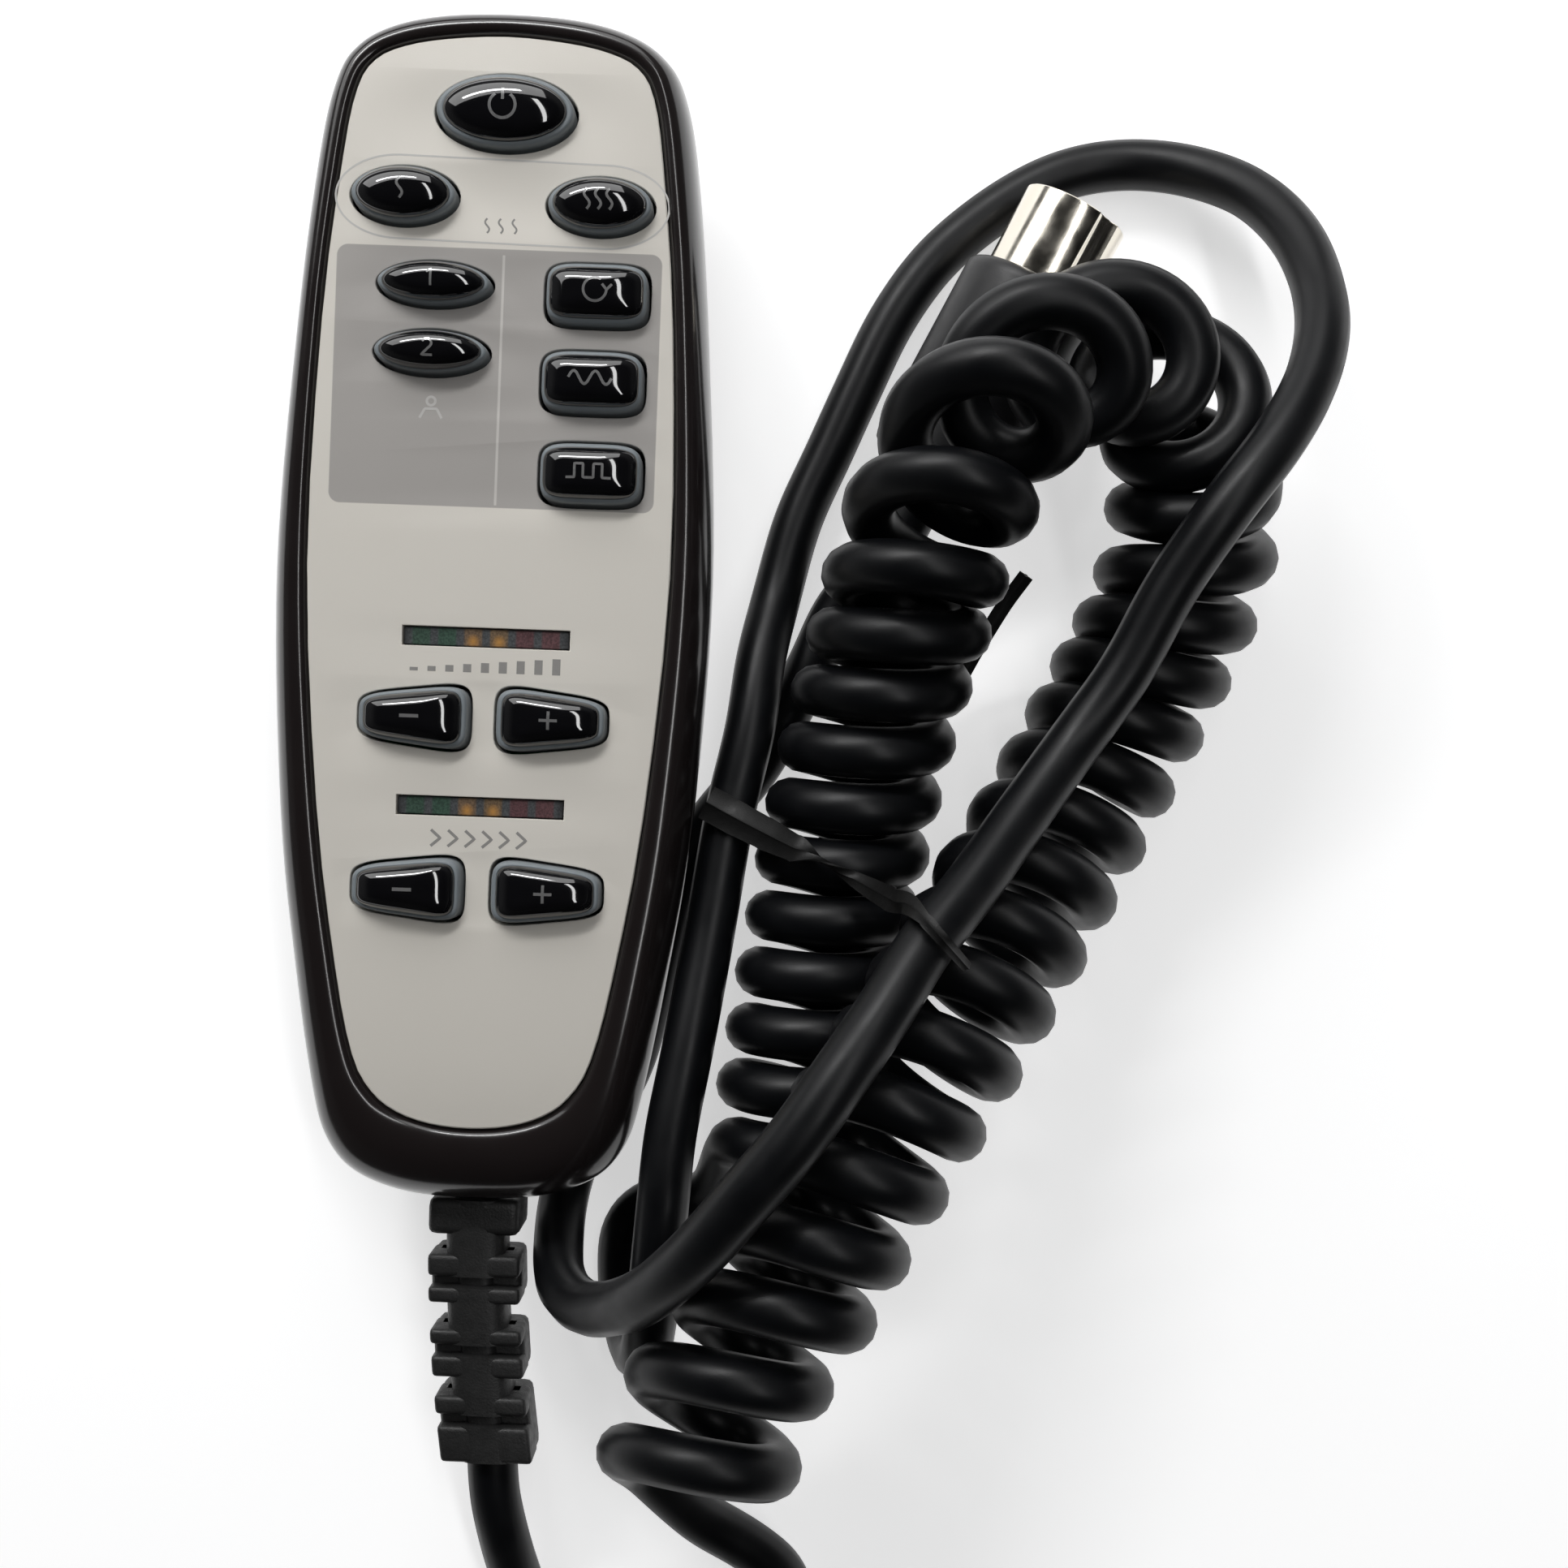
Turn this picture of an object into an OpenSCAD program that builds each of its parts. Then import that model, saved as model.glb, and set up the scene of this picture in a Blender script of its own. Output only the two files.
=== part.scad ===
// Wired hand controller for a massage and heat seat: a slim two-shell handset with twelve
// sprung keys and two bar displays, on a curly cord that ends in a round DIN plug.
// The handset lies on its back: +Z up through the keys, +Y towards the power key,
// -Y towards the cord. The origin is under the middle of the handset, on the surface.

/* [Handset] */
// Height of the widest line of the body above the surface
wide_z = 15; // [14:0.5:16]
// Height of the printed face
face_z = 21; // [20:0.5:22]
// Height of the parting line between the two shells
parting_z = 12; // [11:0.5:13]
// How far the rounded rim stands above the face
rim_rise = 0.6; // [0.2:0.1:1]
// Thickness of the beige faceplate
plate_t = 1.4; // [1:0.1:1.8]
// Thickness of the deck that carries the faceplate
deck_t = 1.6; // [1.2:0.1:2]

/* [Keys] */
// How far a key travels when pressed
key_travel = 0.8; // [0.4:0.1:1]
// Gap between a key's skirt and its opening
key_gap = 0.4; // [0.3:0.05:0.6]
// Height of the top of the grey skirt above the face
skirt_rise = 1.5; // [1:0.1:2]
// Height of the black cap's dome
cap_rise = 1.8; // [1.4:0.1:2.2]

/* [Cord and plug] */
// Diameter of the straight leads
lead_d = 6; // [5.4:0.1:6.2]
// Outside diameter of the curly section
curl_d = 22.8; // [21:0.1:22.8]
// Outside diameter of the metal DIN shell
shell_d = 13.2; // [13:0.1:13.4]
// Diameter of the moulded plug grip
grip_d = 17.6; // [16:0.2:17.8]
// Length of the plug from the shell's mouth to the tail of the grip
plug_len = 40; // [38:0.5:42]

/* [Hidden] */
$fn = 48;
spline_steps = 3;
flank_power = 1.4;
bead_part = 0.72;
floor_t = 3.4;

// Half outlines, top middle to bottom middle, right-hand side.
wide_half = [
    [0, 70.5], [8, 70.1], [14.2, 68.6], [18.4, 66], [20.8, 62], [22.6, 53], [24.5, 33],
    [26, 4], [24.6, -25], [22, -44.5], [19.6, -58], [17.7, -64], [14.2, -67.8], [8, -70], [0, -70.5]];
face_half = [
    [0, 66.6], [7, 66.1], [12, 65.1], [15.4, 63.4], [17.4, 60], [18.8, 52], [20.6, 33],
    [21.3, 4], [19.2, -24], [16.3, -43], [14, -53], [11.6, -57.3], [8.6, -59.6], [4.6, -60.9], [0, -61.3]];
keel_half = [
    [0, 56], [3, 56], [5.5, 55.3], [7.5, 54], [9, 51.5], [10.4, 46], [12, 30],
    [13, 3], [12, -20], [9.5, -38], [7, -49], [5.4, -52.5], [3.8, -54], [2, -54.8], [0, -55]];

plate_z = face_z - plate_t;
deck_z = plate_z - deck_t;
board_z = 11.4;
board_t = 1.6;
board_top = board_z + board_t;
pad_t = 0.1;
mat_z = board_top;
mat_t = 1.2;
key_foot_z = board_top + pad_t + key_travel + 0.2;
skirt_top = face_z + skirt_rise;
skirt_shoulder = skirt_top - 0.7;
cap_top = skirt_top + cap_rise;

// Keys: name is only a reader's help, then centre, opening size, cap size and shape.
ELLIPSE = 0;
ROUNDED = 1;
TAPERED = 2;
power_key = [[0.2, 57.4], [16.9, 9.4], [14.4, 7.4], ELLIPSE];
heat_low_key = [[-11.3, 47.4], [13, 7.3], [10.9, 5.9], ELLIPSE];
heat_high_key = [[11.6, 46.9], [13, 7.3], [10.9, 5.9], ELLIPSE];
zone_1_key = [[-7.4, 37.2], [14, 5.8], [11.9, 4.5], ELLIPSE];
zone_2_key = [[-7.5, 29.2], [14, 5.8], [11.9, 4.5], ELLIPSE];
select_key = [[11.6, 36.5], [12.6, 7.9], [11, 6], ROUNDED];
wave_key = [[11.4, 26.3], [12.6, 7.9], [11, 6], ROUNDED];
pulse_key = [[11.6, 15.6], [12.6, 7.9], [11, 6], ROUNDED];
intensity_down_key = [[-8, -13.3], [13.5, 8.8], [11.4, 6.9], TAPERED];
intensity_up_key = [[8, -13.3], [-13.5, 8.8], [-11.4, 6.9], TAPERED];
speed_down_key = [[-8.1, -33.3], [13.5, 8.8], [11.4, 6.9], TAPERED];
speed_up_key = [[8.1, -33.3], [-13.5, 8.8], [-11.4, 6.9], TAPERED];
KEYS = [
    power_key, heat_low_key, heat_high_key, zone_1_key, zone_2_key, select_key, wave_key,
    pulse_key, intensity_down_key, intensity_up_key, speed_down_key, speed_up_key];

window_size = [19.6, 2.3];
window_y = [-3.8, -23.6];
lens_gap = 0.15;
led_count = 6;
led_pitch = 3.2;

case_screw_at = [[0, 47.5], [-9.5, 5.5], [9.5, 5.5], [0, -47.5]];
board_screw_at = [[-13, 56], [13, 56], [-16.5, 5.5], [16.5, 5.5]];
boss_r = 2.7;
boss_foot_z = floor_t + 0.6;
screw_r = 1.25;
screw_head_r = 2.5;
head_seat_z = 1.7;

// Strain relief, out of the bottom end: a neck with cross blocks. Each row gives where a block
// starts, its slit's two sides, and where it ends.
relief_z = 11;
relief_y = -71;
relief_w = 11.24;
relief_low = 3.6;
relief_high = 4.6;
relief_blocks = [
    [-77.6, -80.2, -81.5, -83.4], [-86.6, -88.4, -89.8, -92.3], [-94.6, -96.8, -98.2, -102.5]];
relief_stub_y = -75.2;
relief_end_y = -102.5;
flange_y = -63.5;
flange_t = 2;
// How far the boot has bent sideways at y, since the cord pulls on it.
function relief_bend(y) = 2.6 * pow(min(0, y - relief_y) / 31.5, 2);

// Plug: the middle of the shell's mouth, the plug's direction in plan, and how far the mouth
// end is lifted, since the plug's tail rests on the surface and its mouth over the lead.
plug_mouth = [68.3, 51.1, 13.2];
plug_turn = -26.5;
plug_lift = 7.5;
shell_len = 10;
shell_bore_d = 12;
grip_len = 25;
grip_tail_d = 8.4;

// Cord routes, chosen by hand. Every point is the middle of the cord.
handset_lead_route = [
    [2.6, -102.9, 11], [2.9, -107, 10.9], [4.1, -113.5, 9.4], [5.8, -121, 6.3],
    [9.3, -131, 3.5], [15, -138.5, 3.2], [23, -141, 3.2], [31, -138.5, 3.2], [37.5, -132, 3.6],
    [40.3, -124.5, 5.5], [38.4, -117.5, 8], [33.5, -112.5, 10], [29.5, -108.5, 11.2]];
curl_route = [
    [27.2, -103.6, 22], [29, -95, 25.2], [32.7, -84.4, 29.5], [37.6, -75.6, 32.8],
    [41.1, -67.6, 34.9], [45.1, -60.2, 34.8], [49, -53.8, 33.2], [53.2, -47.5, 30.2],
    [57.1, -41.5, 26.7], [61.1, -35.4, 22.7], [65.2, -29, 18.3], [69.3, -22.5, 14.3],
    [73, -15.8, 12.3], [76.2, -9.2, 12], [79.3, -2.8, 12], [81.6, 3.2, 12.6], [83.4, 10.8, 13.6],
    [83, 18.9, 15.6], [80.2, 27, 18.9], [73.9, 30.8, 25.7], [65, 27.6, 31.4],
    [57.4, 21.8, 34.6], [52.5, 14, 30.5], [50, 6.4, 25.4], [48.6, 0.2, 21], [46.2, -9.4, 16.4],
    [44.8, -16.2, 14.2], [43.6, -23, 13], [41.6, -36.8, 12], [39.7, -50.6, 12],
    [38, -64.4, 12]];
plug_lead_route = [
    [34.5, -69.5, 3.3], [27.5, -72.3, 3.3], [21.5, -73, 3.2], [17.5, -76, 3.2], [17, -82, 3.2],
    [18, -88, 4.5], [19.5, -90.5, 8.5], [21, -89, 14], [22, -83, 18.5], [22.5, -76.5, 20],
    [23, -69, 20.5], [23.5, -61.5, 19.5], [25, -52, 17.5], [27, -38, 14], [29, -23, 12],
    [31, -13, 11], [32, -4, 8.5], [33.5, 3.5, 5], [36, 14, 3.5], [39.5, 22.5, 3.1],
    [43, 31, 3.1], [47, 40, 3.1], [52, 47.5, 3.1], [57, 52.3, 3.1], [62, 56, 3.1],
    [67, 58.7, 3.1], [72.5, 60.3, 3.2], [78.5, 60.5, 4], [84.5, 59, 6], [90.3, 55.3, 9.8],
    [94.4, 49, 14.6], [96, 42, 19], [95.6, 35, 23.5], [93.3, 27.8, 27], [89, 20.5, 30],
    [83.5, 13, 31], [78, 4, 29], [73.5, -5.5, 27.5], [68.5, -13, 27.5], [62, -22, 31],
    [56, -30, 36], [51, -36, 40], [46.5, -43, 43.5], [42, -49.5, 46], [38, -55.5, 46.8],
    [33, -62, 45.8], [27.7, -69.2, 42.3], [22.2, -75.6, 35.8], [17.2, -79.8, 27],
    [13.5, -81.5, 20], [10.5, -80.5, 14], [9.5, -77, 8.5], [9.5, -72.5, 4.5],
    [11, -67, 3.2], [14, -62, 3.1], [17, -56, 3.1], [19, -48, 3.1], [21, -38, 3.1],
    [22.8, -31, 3.1], [26.5, -24.5, 3.1], [31.5, -18, 3.1], [35.5, -10.5, 3.1], [38.5, -4, 3.1],
    [41.5, 3, 3.1], [44.7, 6.8, 4.6], [48.3, 11.2, 7.2], [50.5, 15.5, 7.95]];

// Twist tie: its main stretch over the strands, and its tail under the curly section. Each
// row is a point of its middle and the width there.
tie_t = 0.7;
tie_route = [
    [26.2, -22.1, 15.9, 4.2], [29.2, -23.6, 16.5, 4.4], [34.1, -25.8, 20.9, 4.2],
    [37.5, -27.2, 23.8, 3], [39.8, -28.1, 24.9, 1.3], [43.1, -29.8, 25, 1.6],
    [45.8, -31.1, 28, 2.4], [47.7, -31.8, 34, 2.8], [48.9, -31.8, 40, 2.4],
    [50.1, -32.7, 43.2, 1.6], [52.2, -34.9, 44.6, 1.4], [55.4, -38.2, 40.6, 1.2]];
tail_route = [
    [63.9, 6.8, 13, 1.9], [61.9, 3.7, 10.5, 1.9], [60.3, 0.7, 8, 1.9], [58.7, -2.4, 6, 1.9],
    [57.1, -5.7, 4.6, 1.9], [54, -11.5, 3.2, 1.9], [50.5, -17.5, 1.9, 1.9],
    [46, -23.5, 1, 1.9], [40, -27.5, 0.9, 1.9]];

// ---- Small helpers ----

function unit(v) = v / norm(v);

// One point of a Catmull-Rom curve between b and c.
function spline_point(a, b, c, d, t) =
    0.5 * (2 * b + (c - a) * t + (2 * a - 5 * b + 4 * c - d) * t * t
        + (3 * b - a - 3 * c + d) * t * t * t);

// A half outline, mirrored and smoothed into a closed loop that runs clockwise.
function closed_loop(half) =
    let (
        last = len(half) - 1,
        all = concat(half, [for (i = [last - 1:-1:1]) [-half[i][0], half[i][1]]]),
        n = len(all))
    [for (i = [0:n - 1]) for (k = [0:spline_steps - 1])
        spline_point(all[(i + n - 1) % n], all[i], all[(i + 1) % n], all[(i + 2) % n],
            k / spline_steps)];

function blend(a, b, part) = [for (i = [0:len(a) - 1]) a[i] * (1 - part) + b[i] * part];
function at_height(loop, z) = [for (p = loop) [p[0], p[1], z]];
function scaled(loop, factor) = [for (p = loop) [p[0] * factor[0], p[1] * factor[1]]];

wide_loop = closed_loop(wide_half);
face_loop = closed_loop(face_half);
keel_loop = closed_loop(keel_half);

// A solid through a stack of rings with equal point counts, each ring clockwise from above.
// Each end is closed by a fan about the ring's middle, or the last ring joins the first.
function middle(ring) = [for (p = ring) 1] * ring / len(ring);
module loft(rings, endless = false) {
    n = len(rings[0]);
    count = len(rings);
    total = n * count;
    skin = [for (k = [0:count - (endless ? 1 : 2)]) for (i = [0:n - 1]) for (half = [0, 1])
        let (
            a = k * n + i, b = k * n + (i + 1) % n,
            c = (a + n) % total, d = (b + n) % total)
        half == 0 ? [a, d, c] : [a, b, d]];
    points = [for (r = rings) for (p = r) p];
    if (endless) polyhedron(points = points, faces = skin);
    else polyhedron(
        points = concat(points, [middle(rings[0]), middle(rings[count - 1])]),
        faces = concat(
            [for (i = [0:n - 1]) [total, (i + 1) % n, i]],
            skin,
            [for (i = [0:n - 1]) [total + 1, total - n + i, total - n + (i + 1) % n]]));
}

// The body's outer outline at a height: a boat-like flank below the widest line and a
// rounded bead above it.
function flank_part(z) =
    let (up = 1 - z / wide_z) pow(1 - pow(up, flank_power), 1 / flank_power);
function bead_inset(z) =
    let (up = (z - wide_z) / (face_z + rim_rise - wide_z)) bead_part * (1 - sqrt(max(0, 1 - up * up)));
function body_loop(z) = z <= wide_z
    ? blend(keel_loop, wide_loop, flank_part(z))
    : blend(wide_loop, face_loop, bead_inset(z));

// Rings of a tube swept along a route without twist.
function tangents(p) =
    let (n = len(p))
    [for (i = [0:n - 1]) unit(p[min(i + 1, n - 1)] - p[max(i - 1, 0)])];
function carry(v, t) = unit(v - t * (v * t));
function sides(t) = [
    for (i = 0, v = carry([0.1, 0.2, 1], t[0]); i < len(t);
        i = i + 1, v = i < len(t) ? carry(v, t[i]) : v) v];

module tube(route, r, count) {
    t = tangents(route);
    s = sides(t);
    rings = [for (i = [0:len(route) - 1]) [for (k = [0:count - 1])
        let (a = -360 * k / count)
        route[i] + r * (cos(a) * s[i] + sin(a) * cross(t[i], s[i]))]];
    loft(rings);
}

// A flat ribbon swept through rows of [x, y, z, width], its width kept level.
module ribbon(rows, thick) {
    route = [for (row = rows) [row[0], row[1], row[2]]];
    t = tangents(route);
    rings = [for (i = [0:len(route) - 1])
        let (across = unit(cross(t[i], [0, 0, 1])), up = cross(across, t[i]))
        [for (c = [[-1, -1], [1, -1], [1, 1], [-1, 1]])
            route[i] + across * c[0] * rows[i][3] / 2 + up * c[1] * thick / 2]];
    loft(rings);
}

// Key outlines: an ellipse, a rounded rectangle, and a rounded quadrilateral that is taller
// at its inner side. A negative width mirrors the tapered one.
key_points = 40;
function super_point(size, power, a) = [
    size[0] / 2 * sign(cos(a)) * pow(abs(cos(a)), 2 / power),
    size[1] / 2 * sign(sin(a)) * pow(abs(sin(a)), 2 / power)];
function taper(p, size) = [p[0], p[1] * (0.81 + 0.19 * 2 * p[0] / size[0])];
function key_outline(size, shape) = [
    for (i = [0:key_points - 1])
        let (a = (size[0] < 0 ? 1 : -1) * 360 * (i + 0.5) / key_points)
        shape == ELLIPSE ? super_point(size, 2, a)
        : shape == ROUNDED ? super_point(size, 4.4, a)
        : taper(super_point(size, 4.6, a), size)];
function grown(size, by) = [size[0] + sign(size[0]) * by, size[1] + by];

module key_hole(key, by, low, high) {
    translate([key[0][0], key[0][1], low])
        linear_extrude(high - low) polygon(key_outline(grown(key[1], by), key[3]));
}

module window_hole(by, low, high) {
    for (y = window_y)
        translate([-window_size[0] / 2 - by, y - window_size[1] / 2 - by, low])
            cube([window_size[0] + 2 * by, window_size[1] + 2 * by, high - low]);
}

// ---- Shells and face ----

flank_heights = [0, 0.5, 1.4, 2.8, 4.8, 7.4, 9.8, parting_z];
rim_heights = [parting_z, 13.5, wide_z, 17, 18.8, 20.2, 21.1, face_z + rim_rise];
cavity_heights = [parting_z, 9.5, 7, 5.2, 4, floor_t];
cavity_scale = [0.91, 0.968];
cavity_loop = blend(wide_loop, face_loop, 0.52);
ledge_scale = [0.93, 0.96];
seat_scale = [0.92, 0.955];

module relief_hole() {
    translate([-3.4, -75, relief_z - 3.4]) cube([6.8, 14, 6.8]);
    translate([-5.1, flange_y - 0.1, relief_z - 3.7]) cube([10.2, flange_t + 0.2, 7.4]);
}

// A cup: up the outside, across the parting face, and down the inside.
module lower_shell() {
    color([0.03, 0.03, 0.035]) difference() {
        loft(concat(
            [for (z = flank_heights) at_height(body_loop(z), z)],
            [for (z = cavity_heights)
                at_height(scaled(body_loop(z - floor_t), cavity_scale), z)]));
        for (p = case_screw_at) translate([p[0], p[1], -1]) {
            cylinder(r = 1.6, h = floor_t + 2);
            cylinder(r = screw_head_r + 0.3, h = head_seat_z + 1);
        }
        relief_hole();
    }
}

// A ring: up the outside, over the bead, down to the ledge that the faceplate lies on, and
// back down the cavity wall.
module upper_shell() {
    ledge_loop = scaled(face_loop, ledge_scale);
    color([0.03, 0.03, 0.035]) difference() {
        loft(concat(
            [for (z = rim_heights) at_height(body_loop(z), z)],
            [at_height(face_loop, face_z), at_height(face_loop, plate_z),
            at_height(ledge_loop, plate_z), at_height(ledge_loop, deck_z),
            at_height(cavity_loop, deck_z - 0.8), at_height(cavity_loop, parting_z)]),
            endless = true);
        relief_hole();
    }
}

// The faceplate carries the deck under it, the case screws' bosses and the board's posts.
module faceplate() {
    color([0.76, 0.74, 0.70]) difference() {
        union() {
            translate([0, 0, plate_z])
                linear_extrude(plate_t) polygon(scaled(face_loop, [0.996, 0.998]));
            translate([0, 0, deck_z])
                linear_extrude(deck_t) polygon(scaled(face_loop, seat_scale));
            for (p = case_screw_at) translate([p[0], p[1], boss_foot_z])
                cylinder(r = boss_r, h = plate_z - boss_foot_z);
            for (p = board_screw_at) translate([p[0], p[1], board_top])
                cylinder(r = 2.2, h = plate_z - board_top);
        }
        for (key = KEYS) key_hole(key, 0, deck_z - 1, face_z + 1);
        window_hole(0, deck_z - 1, face_z + 1);
        for (p = case_screw_at) translate([p[0], p[1], boss_foot_z - 1])
            cylinder(r = screw_r, h = 11);
        for (p = board_screw_at) translate([p[0], p[1], board_top - 1])
            cylinder(r = 0.9, h = 5.5);
    }
}

// ---- Keys ----

module key_body(key) {
    size = grown(key[1], -2 * key_gap);
    shoulder = grown(size, -0.5);
    color([0.45, 0.49, 0.52]) translate([key[0][0], key[0][1], 0]) loft([
        at_height(key_outline(size, key[3]), key_foot_z),
        at_height(key_outline(size, key[3]), face_z + 0.3),
        at_height(key_outline(shoulder, key[3]), skirt_shoulder),
        at_height(key_outline(grown(key[2], 0.2), key[3]), skirt_top)]);
}

module key_cap(key) {
    dome = [[0, 1], [0.35, 0.985], [0.62, 0.92], [0.85, 0.76], [1, 0.45]];
    color([0.02, 0.02, 0.03]) translate([key[0][0], key[0][1], 0]) loft([
        for (step = dome)
            at_height(key_outline(key[2] * step[1], key[3]), skirt_top + cap_rise * step[0])]);
}

module keypad_mat() {
    color([0.45, 0.49, 0.52]) translate([0, 0, mat_z]) difference() {
        linear_extrude(mat_t) polygon(scaled(face_loop, [0.9, 0.93]));
        for (key = KEYS) key_hole(key, 0.4, -1, mat_t + 1);
        window_hole(1.4, -1, mat_t + 1);
        for (p = case_screw_at) translate([p[0], p[1], -1]) cylinder(r = boss_r + 0.3, h = 4);
        for (p = board_screw_at) translate([p[0], p[1], -1]) cylinder(r = 2.5, h = 4);
    }
}

// ---- Electronics ----

module circuit_board() {
    color([0.10, 0.32, 0.16]) translate([0, 0, board_z]) difference() {
        linear_extrude(board_t) polygon(scaled(face_loop, [0.92, 0.95]));
        for (p = case_screw_at) translate([p[0], p[1], -1]) cylinder(r = boss_r + 0.4, h = 4);
        for (p = board_screw_at) translate([p[0], p[1], -1]) cylinder(r = 1.2, h = 4);
    }
}

module board_contacts() {
    color([0.12, 0.12, 0.12]) for (key = KEYS)
        translate([key[0][0], key[0][1], board_top]) cylinder(r = 2.2, h = pad_t);
}

module control_chip() {
    color([0.08, 0.08, 0.09]) translate([-7, 22, board_z - 1.6]) cube([14, 9, 1.6]);
}

module led_row(y) {
    color([0.55, 0.55, 0.45]) for (i = [0:led_count - 1])
        translate([(i - (led_count - 1) / 2) * led_pitch - 1, y - 0.8, board_top])
            cube([2, 1.6, 1.4]);
}

module light_baffle(y) {
    w = window_size[0] + 1.8;
    d = window_size[1] + 1.8;
    color([0.05, 0.05, 0.05]) translate([-w / 2, y - d / 2, board_top]) difference() {
        cube([w, d, deck_z - board_top - 0.9]);
        for (i = [0:led_count - 1])
            translate([w / 2 + (i - (led_count - 1) / 2) * led_pitch - 1.2, d / 2 - 1.1, -1])
                cube([2.4, 2.2, 8]);
    }
}

module lens(y) {
    w = window_size[0] - 2 * lens_gap;
    d = window_size[1] - 2 * lens_gap;
    color([0.35, 0.37, 0.36, 0.6]) {
        translate([-w / 2, y - d / 2, deck_z - 0.8]) cube([w, d, face_z - 0.25 - deck_z + 0.8]);
        translate([-w / 2 - 0.9, y - d / 2 - 0.9, deck_z - 0.8]) cube([w + 1.8, d + 1.8, 0.7]);
    }
}

header_y = -43.5;
module cable_header() {
    color([0.88, 0.86, 0.80]) translate([-6, header_y, board_z - 4.6]) difference() {
        cube([12, 5, 4.6]);
        translate([1, -1, 1]) cube([10, 4.5, 2.6]);
    }
}

// Two wires pass on each side of the boss behind the header, then meet in the clamp.
wire_r = 0.5;
wire_pitch = 1.8;
module inner_wires() {
    color([0.7, 0.2, 0.15]) for (side = [-1, 1]) for (i = [0, 1]) {
        x = side * wire_pitch * (i + 0.5);
        around = side * (3.6 + 1.4 * i);
        tube([
            [x, header_y + 2, 9.1], [x, header_y - 0.5, 9.1], [around, -46, 9.1], [around, -49, 9.1],
            [x, -52, 9.1], [x, -54, 9.1]], wire_r, 8);
    }
}

clamp_y = -57.6;
module cable_clamp() {
    color([0.2, 0.2, 0.22]) for (z = [7.4, 9.6])
        translate([-5.5, clamp_y, z]) cube([11, 3.4, z < 8 ? 1 : 1.6]);
}

module case_screws() {
    color([0.7, 0.7, 0.72]) for (p = case_screw_at) translate([p[0], p[1], 0.3]) {
        cylinder(r = screw_head_r, h = head_seat_z - 0.3);
        cylinder(r = screw_r, h = 12);
    }
}

module board_screws() {
    color([0.7, 0.7, 0.72]) for (p = board_screw_at) translate([p[0], p[1], board_z - 1.1]) {
        cylinder(r = 2, h = 1.1);
        cylinder(r = 0.9, h = 6);
    }
}

// ---- Cord, strain relief and plug ----

module strain_relief() {
    // The spine runs flush with the tops of the blocks, and stops a little lower.
    half = 3.5;
    low = relief_z - 3.4;
    neck = 6.6;
    bends = [relief_y, -74, -78, -82, -86, -90, -94, -98, relief_end_y];
    corners = [[-half, low], [-half, relief_z + 4], [half, relief_z + 4], [half, low]];
    color([0.05, 0.05, 0.05]) {
        loft([for (y = bends) [for (c = corners) [relief_bend(y) + c[0], y, c[1]]]]);
        translate([-neck / 2, relief_y, relief_z - neck / 2])
            cube([neck, flange_y + flange_t - relief_y, neck]);
        translate([-5, flange_y, relief_z - 3.6]) cube([10, flange_t, 7.2]);
        relief_block(relief_y, relief_stub_y);
        for (b = relief_blocks) difference() {
            relief_block(b[0], b[3]);
            translate([-relief_w, b[2], relief_z + 2.6]) cube([2 * relief_w, b[1] - b[2], 4]);
        }
    }
}

module relief_block(start, end) {
    translate([relief_bend((start + end) / 2) - relief_w / 2, end, relief_z - relief_low])
        cube([relief_w, start - end, relief_low + relief_high]);
}

module handset_lead() {
    color([0.04, 0.04, 0.04]) tube(handset_lead_route, lead_d / 2, 10);
}

module curly_cord() {
    color([0.04, 0.04, 0.04]) tube(curl_route, curl_d / 2, 12);
}

module plug_lead() {
    color([0.04, 0.04, 0.04]) tube(plug_lead_route, lead_d / 2, 8);
}

// Everything on the plug is turned about its axis, which points out of the mouth.
module on_plug() {
    translate(plug_mouth) rotate([0, 0, plug_turn]) rotate([plug_lift - 90, 0, 0]) children();
}

module plug_grip() {
    tail = plug_len - shell_len - grip_len;
    color([0.05, 0.05, 0.05]) on_plug() rotate_extrude() polygon([
        [0, -plug_len], [grip_tail_d / 2, -plug_len], [grip_d / 2 - 1, tail - plug_len],
        [grip_d / 2, tail + 1 - plug_len], [grip_d / 2, -shell_len - 1],
        [grip_d / 2 - 1, -shell_len], [0, -shell_len]]);
}

module plug_shell() {
    color([0.75, 0.75, 0.76]) on_plug() difference() {
        translate([0, 0, -shell_len]) cylinder(r = shell_d / 2, h = shell_len);
        translate([0, 0, -shell_len - 1]) cylinder(r = shell_bore_d / 2, h = shell_len + 2);
    }
}

module plug_insulator() {
    color([0.08, 0.08, 0.08]) on_plug() difference() {
        translate([0, 0, -shell_len]) cylinder(r = shell_bore_d / 2, h = 2.4);
        translate([-1.2, shell_bore_d / 2 - 1.6, -shell_len + 1]) cube([2.4, 3, 3]);
    }
}

pin_angles = [-90, -45, 0, 45, 90];
module plug_pins() {
    color([0.8, 0.8, 0.8]) on_plug() for (a = pin_angles)
        rotate([0, 0, a - 90]) translate([3.5, 0, -shell_len + 2.4])
            cylinder(r = 0.72, h = shell_len - 3.4);
}

module twist_tie() {
    color([0.06, 0.06, 0.06]) {
        ribbon(tie_route, tie_t);
        ribbon(tail_route, tie_t);
    }
}

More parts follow.
